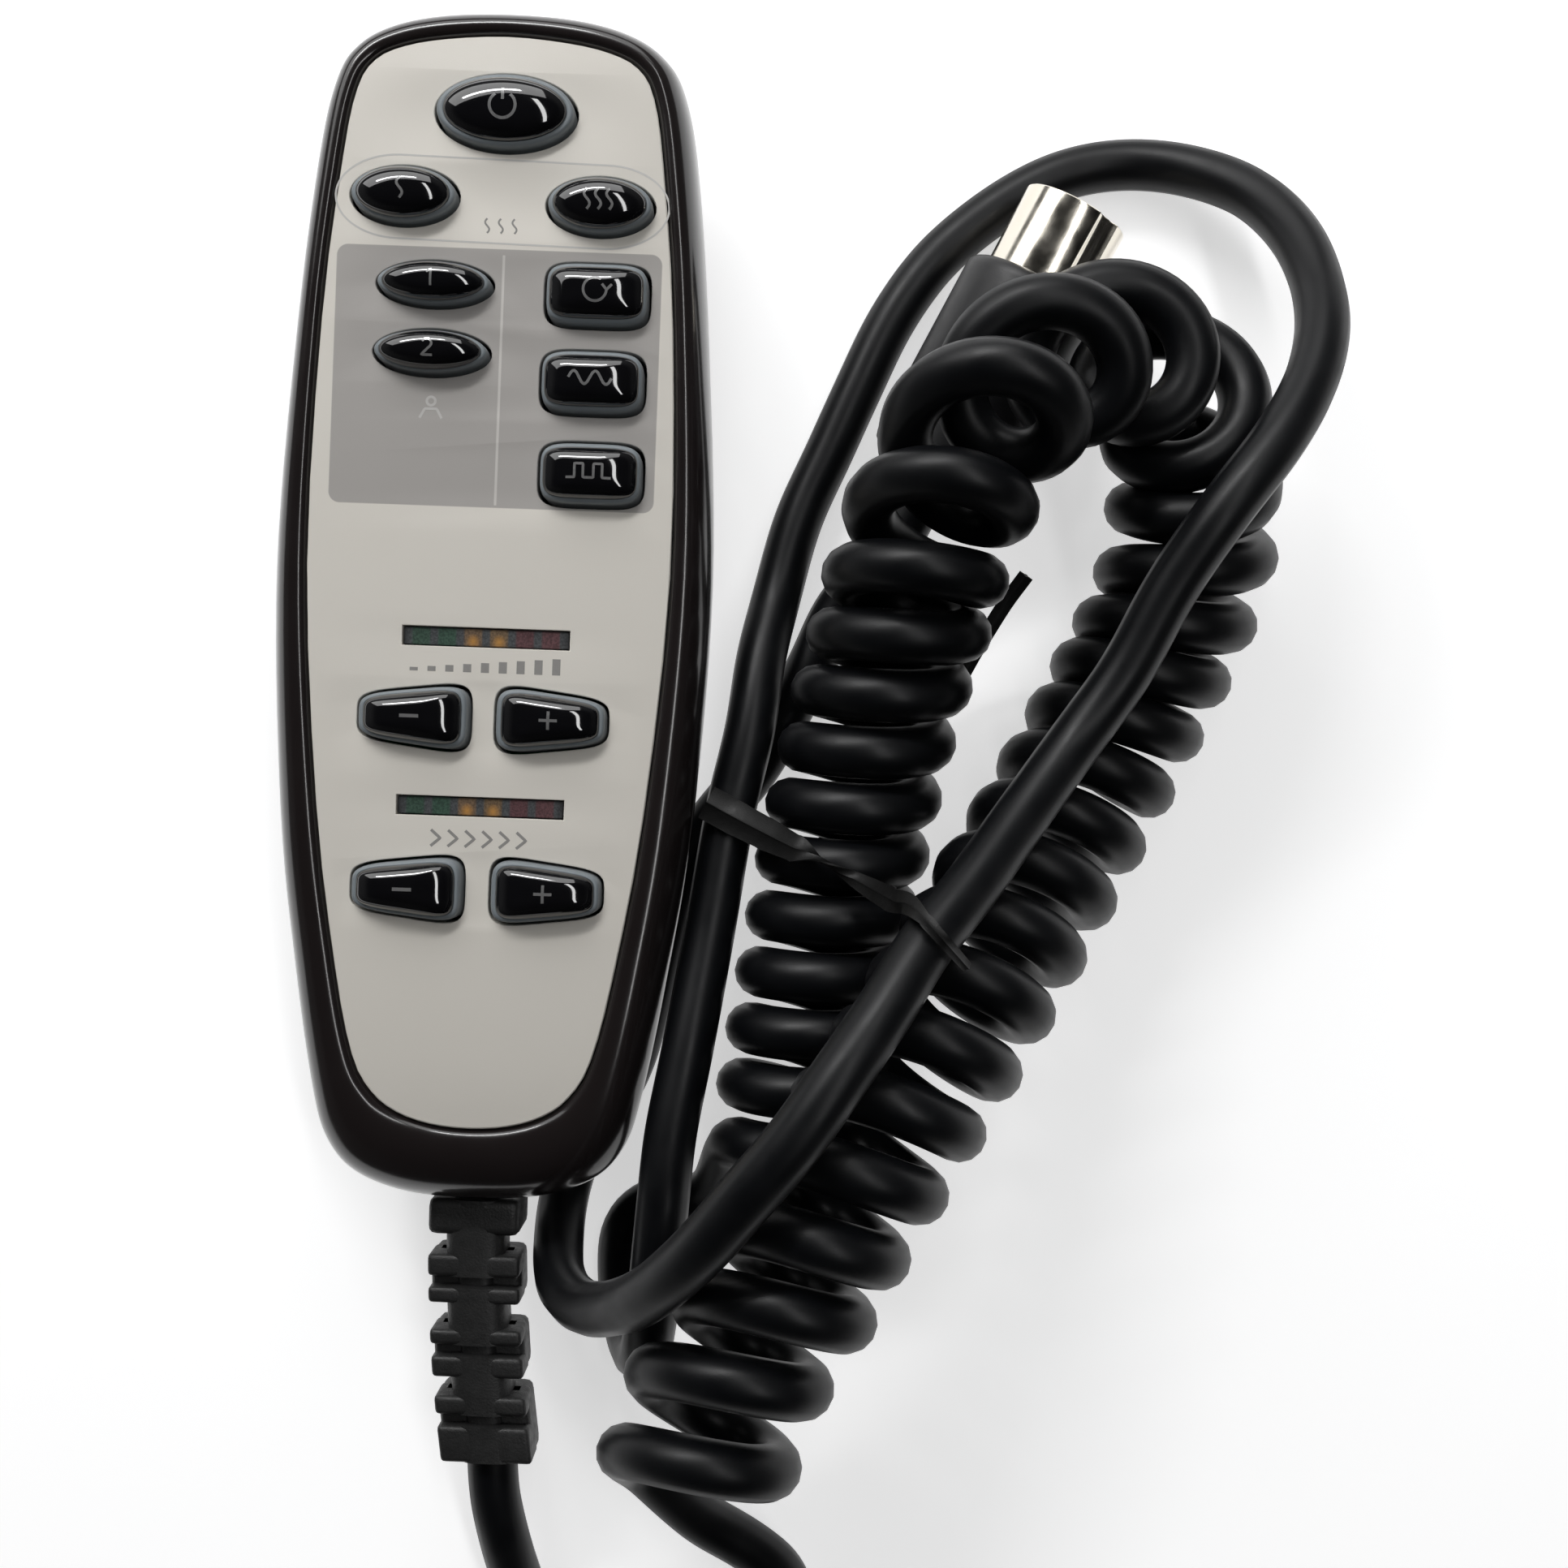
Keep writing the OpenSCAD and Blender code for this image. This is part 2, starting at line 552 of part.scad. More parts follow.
lower_shell();
upper_shell();
faceplate();
keypad_mat();
circuit_board();
board_contacts();
control_chip();
led_row(window_y[0]);  // led_row_intensity
led_row(window_y[1]);  // led_row_speed
light_baffle(window_y[0]);  // light_baffle_intensity
light_baffle(window_y[1]);  // light_baffle_speed
lens(window_y[0]);  // lens_intensity
lens(window_y[1]);  // lens_speed
cable_header();
inner_wires();
cable_clamp();
case_screws();
board_screws();
key_body(power_key);  // key_power
key_body(heat_low_key);  // key_heat_low
key_body(heat_high_key);  // key_heat_high
key_body(zone_1_key);  // key_zone_1
key_body(zone_2_key);  // key_zone_2
key_body(select_key);  // key_select
key_body(wave_key);  // key_wave
key_body(pulse_key);  // key_pulse
key_body(intensity_down_key);  // key_intensity_down
key_body(intensity_up_key);  // key_intensity_up
key_body(speed_down_key);  // key_speed_down
key_body(speed_up_key);  // key_speed_up
key_cap(power_key);  // cap_power
key_cap(heat_low_key);  // cap_heat_low
key_cap(heat_high_key);  // cap_heat_high
key_cap(zone_1_key);  // cap_zone_1
key_cap(zone_2_key);  // cap_zone_2
key_cap(select_key);  // cap_select
key_cap(wave_key);  // cap_wave
key_cap(pulse_key);  // cap_pulse
key_cap(intensity_down_key);  // cap_intensity_down
key_cap(intensity_up_key);  // cap_intensity_up
key_cap(speed_down_key);  // cap_speed_down
key_cap(speed_up_key);  // cap_speed_up
strain_relief();
handset_lead();
curly_cord();
plug_lead();
plug_grip();
plug_shell();
plug_insulator();
plug_pins();
twist_tie();
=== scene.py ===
import math
import bpy
import bmesh
from mathutils import Vector, Matrix


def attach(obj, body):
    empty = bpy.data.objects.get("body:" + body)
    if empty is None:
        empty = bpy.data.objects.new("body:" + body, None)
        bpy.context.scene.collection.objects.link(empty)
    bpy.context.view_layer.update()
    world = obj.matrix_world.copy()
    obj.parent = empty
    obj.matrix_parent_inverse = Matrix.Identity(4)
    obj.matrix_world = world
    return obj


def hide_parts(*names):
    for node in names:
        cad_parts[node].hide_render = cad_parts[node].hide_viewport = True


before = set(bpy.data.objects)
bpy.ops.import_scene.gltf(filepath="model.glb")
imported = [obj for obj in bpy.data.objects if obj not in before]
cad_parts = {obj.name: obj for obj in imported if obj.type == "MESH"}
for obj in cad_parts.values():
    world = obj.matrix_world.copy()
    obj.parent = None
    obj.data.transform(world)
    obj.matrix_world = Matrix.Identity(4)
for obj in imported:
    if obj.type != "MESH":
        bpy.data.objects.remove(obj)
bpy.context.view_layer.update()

MM = 0.001
HANDSET = "handset"

# ---------------------------------------------------------------- camera

scene = bpy.context.scene
camera = bpy.data.objects.new("camera", bpy.data.cameras.new("camera"))
scene.collection.objects.link(camera)
camera.location = Vector((35.4, -19.6, 220)) * MM
camera.rotation_euler = (0, 0, math.radians(2.074))
camera.data.sensor_width = 36
camera.data.lens = 39.1
camera.data.clip_start = 0.01
camera.data.clip_end = 20
scene.camera = camera
scene.view_settings.view_transform = "Standard"

# ---------------------------------------------------------------- node helpers


class Nodes:
    """A short way to write one material's node tree."""

    def __init__(self, name):
        self.material = bpy.data.materials.new(name)
        self.material.use_nodes = True
        self.tree = self.material.node_tree
        self.shader = self.tree.nodes["Principled BSDF"]
        self.place = self.add("ShaderNodeTexCoord").outputs["Object"]

    def add(self, kind, **values):
        node = self.tree.nodes.new(kind)
        for key, value in values.items():
            setattr(node, key, value)
        return node

    def put(self, socket, value):
        if isinstance(value, bpy.types.NodeSocket):
            self.tree.links.new(value, socket)
        else:
            socket.default_value = value

    def math(self, operation, a, b=0.0, c=0.0, clamp=False):
        node = self.add("ShaderNodeMath", operation=operation, use_clamp=clamp)
        for socket, value in zip(node.inputs, (a, b, c)):
            self.put(socket, value)
        return node.outputs[0]

    def noise(self, size_mm, detail=2.0, rough=0.5, stretch=(1, 1, 1), place=None):
        """Noise whose features are about size_mm across, drawn out along an axis by stretch."""
        mapping = self.add("ShaderNodeMapping")
        self.put(mapping.inputs["Vector"], place or self.place)
        mapping.inputs["Scale"].default_value = [1 / (size_mm * MM * s) for s in stretch]
        node = self.add("ShaderNodeTexNoise")
        self.put(node.inputs["Vector"], mapping.outputs[0])
        node.inputs["Scale"].default_value = 1
        node.inputs["Detail"].default_value = detail
        node.inputs["Roughness"].default_value = rough
        return node.outputs["Fac"]

    def span(self, value, low, high, to_low=0.0, to_high=1.0):
        node = self.add("ShaderNodeMapRange")
        for socket, v in zip(node.inputs, (value, low, high, to_low, to_high)):
            self.put(socket, v)
        return node.outputs["Result"]

    def mix(self, part, a, b, blend="MIX"):
        node = self.add("ShaderNodeMix", data_type="RGBA", blend_type=blend)
        self.put(node.inputs[0], part)
        for socket, value in ((node.inputs[6], a), (node.inputs[7], b)):
            self.put(socket, (*value, 1) if isinstance(value, tuple) else value)
        return node.outputs[2]

    def bump(self, *layers):
        """Each layer is (height, depth in mm)."""
        normal = None
        for height, depth in layers:
            node = self.add("ShaderNodeBump")
            self.put(node.inputs["Height"], height)
            node.inputs["Distance"].default_value = depth * MM
            if normal is not None:
                self.put(node.inputs["Normal"], normal)
            normal = node.outputs[0]
        self.put(self.shader.inputs["Normal"], normal)

    def set(self, **values):
        for key, value in values.items():
            self.put(self.shader.inputs[key.replace("_", " ")], value)
        return self


def surface(name, colour, second, patch=6.0, rough=(0.3, 0.4), rough_size=3.0,
            grain=0.3, depth=0.01, **values):
    """Plain moulded or rubbery material: two close colours in soft patches, uneven
    roughness and a fine grain in the surface."""
    m = Nodes(name)
    m.put(m.shader.inputs["Base Color"], m.mix(m.noise(patch, 3), colour, second))
    m.put(m.shader.inputs["Roughness"], m.span(m.noise(rough_size, 4), 0.3, 0.7, *rough))
    m.bump((m.noise(grain, 3), depth))
    return m.set(**values).material


# ---------------------------------------------------------------- materials

# The shell's brownish, raised black is partly the plastic's own colour and partly a painted
# reflection of the beige face.
SHELL = surface("shell_gloss", (0.013, 0.0102, 0.0102), (0.018, 0.0145, 0.0145), 12,
                (0.16, 0.22), 5, 1.6, 0.004, Coat_Weight=0.3, Coat_Roughness=0.08)
SILICONE = surface("silicone", (0.205, 0.235, 0.255), (0.235, 0.262, 0.28), 3,
                   (0.42, 0.52), 1.5, 0.18, 0.006, Sheen_Weight=0.15, Sheen_Roughness=0.4)
CAP = surface("cap_gloss", (0.004, 0.004, 0.005), (0.006, 0.006, 0.007), 4,
              (0.05, 0.09), 2, 1.2, 0.0015, Coat_Weight=1.0, Coat_Roughness=0.03)
CORD = surface("cord_jacket", (0.0022, 0.0025, 0.0032), (0.0042, 0.0046, 0.0058), 9,
               (0.35, 0.45), 4, 0.22, 0.006, Specular_IOR_Level=0.28)
RELIEF = surface("relief_rubber", (0.014, 0.014, 0.014), (0.022, 0.022, 0.022), 5,
                 (0.42, 0.58), 1.0, 0.28, 0.05)
GRIP = surface("plug_rubber", (0.005, 0.005, 0.006), (0.009, 0.009, 0.010), 6,
               (0.4, 0.5), 2.0, 0.2, 0.012)
TIE = surface("tie_plastic", (0.004, 0.004, 0.004), (0.008, 0.008, 0.008), 1.5,
              (0.4, 0.52), 0.8, 0.15, 0.02, Specular_IOR_Level=0.3)
PRINT = surface("print_grey", (0.27, 0.262, 0.25), (0.31, 0.30, 0.288), 0.6,
                (0.5, 0.6), 0.8, 0.08, 0.003)
PRINT_LIGHT = surface("print_light", (0.56, 0.55, 0.53), (0.60, 0.59, 0.57), 0.6,
                      (0.5, 0.6), 0.8, 0.08, 0.003)
CAP_PRINT = surface("cap_print", (0.15, 0.15, 0.15), (0.19, 0.19, 0.19), 0.6,
                    (0.2, 0.3), 0.8, 0.08, 0.002, Coat_Weight=1.0, Coat_Roughness=0.04)
BLACK_PLASTIC = surface("black_plastic", (0.012, 0.012, 0.013), (0.02, 0.02, 0.021), 4,
                        (0.35, 0.5), 1.2, 0.12, 0.01)
SOLDER_MASK = surface("solder_mask", (0.012, 0.085, 0.03), (0.02, 0.12, 0.045), 2,
                      (0.25, 0.4), 1, 0.4, 0.01, Coat_Weight=0.3)
CARBON = surface("carbon_print", (0.02, 0.02, 0.02), (0.04, 0.04, 0.04), 0.5,
                 (0.6, 0.8), 0.5, 0.1, 0.01)
DIFFUSER = surface("led_block", (0.5, 0.5, 0.42), (0.6, 0.6, 0.5), 1, (0.3, 0.4), 1, 0.2, 0.005)
IVORY = surface("header_ivory", (0.72, 0.68, 0.58), (0.78, 0.74, 0.64), 2,
                (0.35, 0.45), 1, 0.2, 0.006)
WIRE = surface("wire_jacket", (0.45, 0.03, 0.02), (0.55, 0.05, 0.03), 3,
               (0.3, 0.4), 1, 0.2, 0.005)


def beige_face():
    """Matt beige printed face with a fine moulded grain, and the grey panel behind the zone
    and mode keys with its thin light divider."""
    m = Nodes("face_print")
    place = m.add("ShaderNodeSeparateXYZ")
    m.put(place.inputs[0], m.place)
    px, py = place.outputs[0], place.outputs[1]

    def distance(centre, half, corner):
        across = m.math("MAXIMUM", m.math("SUBTRACT", m.math("ABSOLUTE", m.math(
            "SUBTRACT", px, centre[0] * MM)), (half[0] - corner) * MM), 0)
        along = m.math("MAXIMUM", m.math("SUBTRACT", m.math("ABSOLUTE", m.math(
            "SUBTRACT", py, centre[1] * MM)), (half[1] - corner) * MM), 0)
        square = m.math("ADD", m.math("POWER", across, 2), m.math("POWER", along, 2))
        length = m.math("SQRT", square)
        return m.math("SUBTRACT", length, corner * MM)

    panel = m.span(distance((0, 26.5), (19.0, 15.1), 1.3), -0.05 * MM, 0.05 * MM, 1, 0)
    divider = m.span(distance((0.5, 26.3), (0.14, 14.6), 0.05), -0.03 * MM, 0.05 * MM, 1, 0)
    tint = m.noise(18, 3)
    beige = m.mix(tint, (0.75, 0.716, 0.652), (0.785, 0.752, 0.69))
    grey = m.mix(tint, (0.41, 0.39, 0.371), (0.44, 0.42, 0.401))
    light = m.mix(tint, (0.60, 0.58, 0.55), (0.63, 0.61, 0.58))
    colour = m.mix(divider, m.mix(panel, beige, grey), light)
    m.put(m.shader.inputs["Base Color"], colour)
    m.put(m.shader.inputs["Roughness"], m.span(m.noise(2.0, 4), 0.3, 0.7, 0.44, 0.54))
    m.bump((m.noise(0.16, 2), 0.006), (m.noise(7, 2), 0.01))
    return m.set(Specular_IOR_Level=0.4).material


def nickel():
    """Bright nickel plate with a fine grain and faint handling haze."""
    m = Nodes("nickel_plate")
    haze = m.noise(2.5, 4)
    m.put(m.shader.inputs["Base Color"], m.mix(haze, (0.80, 0.75, 0.65), (0.88, 0.83, 0.73)))
    m.put(m.shader.inputs["Roughness"], m.span(haze, 0.3, 0.7, 0.12, 0.22))
    m.bump((m.noise(0.12, 2, stretch=(1, 1, 1)), 0.0015))
    return m.set(Metallic=1.0).material


def steel():
    m = Nodes("plated_steel")
    wear = m.noise(0.8, 4)
    m.put(m.shader.inputs["Base Color"], m.mix(wear, (0.50, 0.50, 0.51), (0.62, 0.62, 0.63)))
    m.put(m.shader.inputs["Roughness"], m.span(wear, 0.3, 0.7, 0.22, 0.38))
    m.bump((m.noise(0.15, 2), 0.003))
    return m.set(Metallic=1.0).material


def display():
    """Smoked window with six light blocks behind it: two green, two amber and two red,
    with dark dotted gaps. Each amber block has a painted glow in its base colour near its lower
    edge."""
    m = Nodes("display_window")
    place = m.add("ShaderNodeSeparateXYZ")
    m.put(place.inputs[0], m.place)
    along = m.math("DIVIDE", m.math("ADD", place.outputs[0], 9.65 * MM), 19.3 * MM)
    ramp = m.add("ShaderNodeValToRGB")
    ramp.color_ramp.interpolation = "LINEAR"
    gap = (0.075, 0.08, 0.085)
    blocks = [(0.045, 0.085, 0.062), (0.045, 0.09, 0.065), (0.18, 0.12, 0.075),
              (0.18, 0.12, 0.07), (0.115, 0.055, 0.06), (0.12, 0.058, 0.063)]
    stops = [(0.0, (0.03, 0.03, 0.032))]
    for i, colour in enumerate(blocks):
        left = 0.045 + i * 0.157
        stops += [(left, gap), (left + 0.012, colour), (left + 0.108, colour), (left + 0.12, gap)]
    stops.append((1.0, (0.03, 0.03, 0.032)))
    elements = ramp.color_ramp.elements
    for k, (at, colour) in enumerate(stops):
        e = elements[k] if k < 2 else elements.new(at)
        e.position = at
        e.color = (*colour, 1)
    m.put(ramp.inputs[0], along)
    dots = m.span(m.noise(0.22, 1), 0.35, 0.65, 0.62, 1.15)
    base = m.mix(1.0, ramp.outputs[0], dots, "MULTIPLY")
    # Painted glow: a brighter orange mixed into the base colour round each amber block's lower
    # edge, not a light.
    glow = None
    for middle in (-1.55, 1.5):
        for y in (-4.25, -24.05):
            dx = m.math("DIVIDE", m.math("SUBTRACT", place.outputs[0], middle * MM), 0.85 * MM)
            dy = m.math("DIVIDE", m.math("SUBTRACT", place.outputs[1], y * MM), 0.95 * MM)
            spot = m.math("SUBTRACT", 1, m.math("SQRT", m.math(
                "ADD", m.math("POWER", dx, 2), m.math("POWER", dy, 2))), clamp=True)
            glow = spot if glow is None else m.math("MAXIMUM", glow, spot)
    colour = m.mix(m.math("MULTIPLY", glow, 0.85), base, (0.55, 0.27, 0.06))
    m.put(m.shader.inputs["Base Color"], colour)
    m.put(m.shader.inputs["Roughness"], m.span(m.noise(0.3, 2), 0.3, 0.7, 0.3, 0.45))
    m.bump((m.noise(0.2, 2), 0.004))
    return m.material


FACE = beige_face()
NICKEL = nickel()
STEEL = steel()
DISPLAY = display()

# ---------------------------------------------------------------- mesh helpers


def finish_mesh(name, mesh, material, body, slot, replaced=(), flat_over=40):
    mesh.materials.clear()
    mesh.materials.append(material)
    mesh.polygons.foreach_set("use_smooth", [True] * len(mesh.polygons))
    obj = bpy.data.objects.new(name, mesh)
    scene.collection.objects.link(obj)
    if flat_over:
        mesh.set_sharp_from_angle(angle=math.radians(flat_over))
    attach(obj, body)
    if replaced:
        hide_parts(*replaced)
    return obj


def from_points(name, points, faces, *rest, **more):
    """points are in mm."""
    mesh = bpy.data.meshes.new(name)
    mesh.from_pydata([Vector(p) * MM for p in points], [], faces)
    mesh.validate()
    bm = bmesh.new()
    bm.from_mesh(mesh)
    bmesh.ops.recalc_face_normals(bm, faces=bm.faces)
    bm.to_mesh(mesh)
    bm.free()
    return finish_mesh(name, mesh, *rest, **more)


def loft(rings, endless=False, base=0):
    """Points and faces of a skin through rings of equal size, its ends closed by fans, or
    its last ring joined to the first."""
    n, count = len(rings[0]), len(rings)
    points = [tuple(p) for r in rings for p in r]
    faces = []
    for k in range(count if endless else count - 1):
        for i in range(n):
            a, b = k * n + i, k * n + (i + 1) % n
            c, d = ((k + 1) % count) * n + (i + 1) % n, ((k + 1) % count) * n + i
            faces.append((base + a, base + b, base + c, base + d))
    if not endless:
        for k in (0, count - 1):
            points.append(tuple(sum((Vector(p) for p in rings[k]), Vector()) / n))
            middle = len(points) - 1
            for i in range(n):
                faces.append((base + middle, base + k * n + i, base + k * n + (i + 1) % n))
    return points, faces


def joined(parts):
    """One list of points and faces out of several."""
    points, faces = [], []
    for p, f in parts:
        start = len(points)
        points += p
        faces += [tuple(start + i for i in face) for face in f]
    return points, faces


def centripetal(points, spacing):
    """A smooth curve through the points, resampled at an even spacing in mm."""
    p = [Vector(q) for q in points]
    p = [2 * p[0] - p[1]] + p + [2 * p[-1] - p[-2]]
    dense = []
    for i in range(1, len(p) - 2):
        a, b, c, d = p[i - 1:i + 3]
        t0 = 0.0
        t1 = t0 + max((b - a).length, 1e-6) ** 0.5
        t2 = t1 + max((c - b).length, 1e-6) ** 0.5
        t3 = t2 + max((d - c).length, 1e-6) ** 0.5
        steps = max(2, int((c - b).length / spacing) * 3)
        for k in range(steps):
            t = t1 + (t2 - t1) * k / steps
            a1 = (t1 - t) / (t1 - t0) * a + (t - t0) / (t1 - t0) * b
            a2 = (t2 - t) / (t2 - t1) * b + (t - t1) / (t2 - t1) * c
            a3 = (t3 - t) / (t3 - t2) * c + (t - t2) / (t3 - t2) * d
            b1 = (t2 - t) / (t2 - t0) * a1 + (t - t0) / (t2 - t0) * a2
            b2 = (t3 - t) / (t3 - t1) * a2 + (t - t1) / (t3 - t1) * a3
            dense.append((t2 - t) / (t2 - t1) * b1 + (t - t1) / (t2 - t1) * b2)
    dense.append(p[-2])
    return even(dense, spacing)


def even(points, spacing):
    """The same line with its points an even distance apart."""
    lengths = [0.0]
    for a, b in zip(points, points[1:]):
        lengths.append(lengths[-1] + (b - a).length)
    count = max(2, round(lengths[-1] / spacing))
    out, k = [], 0
    for i in range(count + 1):
        s = lengths[-1] * i / count
        while k < len(points) - 2 and lengths[k + 1] < s:
            k += 1
        part = (s - lengths[k]) / max(lengths[k + 1] - lengths[k], 1e-9)
        out.append(points[k].lerp(points[k + 1], min(max(part, 0), 1)))
    return out


def directions(points):
    last = len(points) - 1
    return [(points[min(i + 1, last)] - points[max(i - 1, 0)]).normalized()
            for i in range(last + 1)]


def relaxed(points, rounds, fixed):
    """Evens out small kinks; the first and last fixed points stay."""
    p = list(points)
    for _ in range(rounds):
        q = list(p)
        for i in range(fixed, len(p) - fixed):
            q[i] = p[i] * 0.5 + (p[i - 1] + p[i + 1]) * 0.25
        p = q
    return p


# ---------------------------------------------------------------- cord

CORD_D = 6.2

LEAD_IN = [
    (2.6, -102.9, 11), (2.9, -107, 10.9), (4.1, -113.5, 9.4), (5.8, -121, 6.3), (9.3, -131, 3.5),
    (15, -138.5, 3.2), (23, -141, 3.2), (31, -138.5, 3.2), (37.5, -132, 3.6),
    (40.3, -124.5, 5.5), (38.4, -117.5, 8), (33.5, -113, 10), (28.5, -109.5, 12)]
# The curly section, ring by ring: number of turns from its lower end, middle of the ring,
# compass turn and climb of the ring's own axis in degrees (0 and 0 is along +Y, a climb of
# 90 is straight up and 180 is back along -Y), and radius.
RINGS = [
    (-0.3, (27.2, -103.6, 22.0), 19, -16, 8.9),
    (0.5, (29.0, -95.0, 25.2), 19, -18, 8.8),
    (1.5, (32.7, -84.4, 29.5), 20, -18, 8.3),
    (2.5, (37.6, -75.6, 32.8), 22, -16, 7.8),
    (3.5, (41.1, -67.6, 34.9), 25, -14, 7.7),
    (4.5, (45.1, -60.2, 34.8), 28, -14, 7.7),
    (6.5, (53.2, -47.5, 30.2), 30, -20, 7.7),
    (8.5, (61.1, -35.4, 22.7), 30, -24, 7.7),
    (10.5, (69.3, -22.5, 14.3), 29, -16, 7.7),
    (12.5, (76.2, -9.2, 12.0), 22, 0, 7.7),
    (14.5, (81.6, 3.2, 12.6), 10, 8, 7.7),
    (15.5, (83.4, 10.8, 13.6), 4, 16, 7.7),
    (16.5, (83.0, 18.9, 15.6), 0, 36, 7.7),
    (17.5, (80.4, 27.2, 18.8), -30, 60, 7.6),
    (18.5, (73.0, 31.4, 24.2), -60, 76, 7.5),
    (19.5, (64.4, 28.6, 29.8), 45, 108, 7.4),
    (20.5, (57.2, 22.4, 34.8), 26, 136, 7.6),
    (21.5, (52.5, 14.0, 30.5), 22, 158, 7.7),
    (22.5, (50.0, 6.4, 25.4), 16, 176, 7.7),
    (23.5, (48.6, 0.2, 21.0), 11, 187, 7.7),
    (25.0, (46.2, -9.4, 16.4), 9, 190, 7.6),
    (27.0, (43.6, -23.0, 13.0), 9, 187, 7.6),
    (29.0, (41.6, -36.8, 12.0), 9, 184, 7.6),
    (31.0, (39.7, -50.6, 12.0), 9, 182, 7.6),
    (33.0, (38.0, -64.4, 12.0), 9, 182, 7.6)]
COIL_TURNS = (-0.14, 33.0)
LEAD_OUT = [
    (27, -72.5, 3.4), (21.5, -73, 3.2), (17.5, -76, 3.2), (17, -82, 3.2),
    (18, -88, 4.5), (19.5, -90.5, 8.5), (21, -89, 14), (22, -83, 18.5), (22.5, -76.5, 20),
    (23, -69, 20.5), (23.5, -61.5, 19.5), (25, -52, 17.5), (27, -38, 14), (29, -23, 12),
    (31, -13, 11), (32, -4, 8.5), (33.5, 3.5, 5), (36, 14, 3.5), (39.5, 22.5, 3.1),
    (43, 31, 3.1), (47, 40, 3.1), (52, 47.5, 3.1), (57, 52.3, 3.1), (62, 56, 3.1),
    (67, 58.7, 3.1), (72.5, 60.3, 3.2), (78.5, 60.5, 4), (84.5, 59, 6), (90.3, 55.3, 9.8),
    (94.4, 49, 14.6), (96, 42, 19), (95.6, 35, 23.5), (93.3, 27.8, 27), (89, 20.5, 30),
    (83.5, 13, 31), (78, 4, 29), (73.5, -5.5, 27.5),
    (68.5, -13, 27.5), (62, -22, 31), (56, -30, 36), (51, -36, 40), (46.5, -43, 43.5),
    (42, -49.5, 46), (38, -55.5, 46.8), (33, -62, 45.8), (27.7, -69.2, 42.3), (22.2, -75.6, 35.8),
    (17.2, -79.8, 27), (13.5, -81.5, 20), (10.5, -80.5, 14), (9.5, -77, 8.5), (9.5, -72.5, 4.5),
    (11, -67, 3.2), (14, -62, 3.1), (17, -56, 3.1), (19, -48, 3.1), (21, -38, 3.1),
    (22.8, -31, 3.1), (26.5, -24.5, 3.1), (31.5, -18, 3.1), (35.5, -10.5, 3.1), (38.5, -4, 3.1),
    (41.5, 3, 3.1), (44.7, 6.8, 4.6), (48.3, 11.2, 7.2), (50.5, 15.5, 7.95)]
PLUG_MOUTH = Vector((68.3, 51.1, 13.2))
PLUG_TURN = math.radians(-26.5)
PLUG_LIFT = math.radians(7.5)


def through(table, t):
    """A value at t on the smooth curve through rows of (t, value)."""
    i = max(1, min(len(table) - 2, sum(row[0] <= t for row in table)))
    rows = [table[max(0, min(len(table) - 1, i + k))] for k in (-2, -1, 0, 1)]
    (ta, a), (tb, b), (tc, c), (td, d) = rows
    start = (c - a) / (tc - ta) if tc > ta else (c - b) / (tc - tb)
    end = (d - b) / (td - tb)
    h, w = (t - tb) / (tc - tb), tc - tb
    return ((2 * h ** 3 - 3 * h * h + 1) * b + (h ** 3 - 2 * h * h + h) * w * start
            + (3 * h * h - 2 * h ** 3) * c + (h ** 3 - h * h) * w * end)


def coil():
    """The curly section: a right-handed helix, at its left side at every whole turn."""
    middles = [(r[0], Vector(r[1])) for r in RINGS]
    axes = []
    for turn, _, compass, climb, _ in RINGS:
        c, k = math.radians(compass), math.radians(climb)
        axes.append((turn, Vector((math.sin(c) * math.cos(k), math.cos(c) * math.cos(k),
                                   math.sin(k)))))
    radii = [(r[0], r[4]) for r in RINGS]
    out = []
    first, last = COIL_TURNS
    steps = round((last - first) * 60)
    for i in range(steps + 1):
        t = first + (last - first) * i / steps
        axis = through(axes, t).normalized()
        left = Vector((-1, 0, 0))
        left = (left - axis * left.dot(axis)).normalized()
        up = axis.cross(left)
        a = math.tau * t
        out.append(through(middles, t)
                   + through(radii, t) * (math.cos(a) * left + math.sin(a) * up))
    return out


def cord_line():
    turns = coil()
    line = centripetal(LEAD_IN + [turns[2]], 0.8)[:-1] + turns[2:-2]
    line += centripetal([turns[-3]] + LEAD_OUT, 0.8)[1:]
    return relaxed(even(line, 0.9), 6, 2)


line = cord_line()
curve = bpy.data.curves.new("cord", "CURVE")
curve.dimensions = "3D"
curve.bevel_depth = CORD_D / 2 * MM
curve.bevel_resolution = 5
curve.use_fill_caps = True
spline = curve.splines.new("POLY")
spline.points.add(len(line) - 1)
for point, place in zip(spline.points, line):
    point.co = (*(place * MM), 1)
spline.use_smooth = True
curve.materials.append(CORD)
cord = bpy.data.objects.new("cord", curve)
scene.collection.objects.link(cord)
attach(cord, HANDSET)
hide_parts("handset_lead", "curly_cord", "plug_lead")

# ---------------------------------------------------------------- handset shells

WIDE_Z, FACE_Z, PARTING_Z, BEAD_Z = 15, 21, 12, 21.6
PLATE_Z, DECK_Z, FLOOR_T = 19.6, 18.0, 3.4
FLANK_POWER, BEAD_PART = 1.4, 0.72
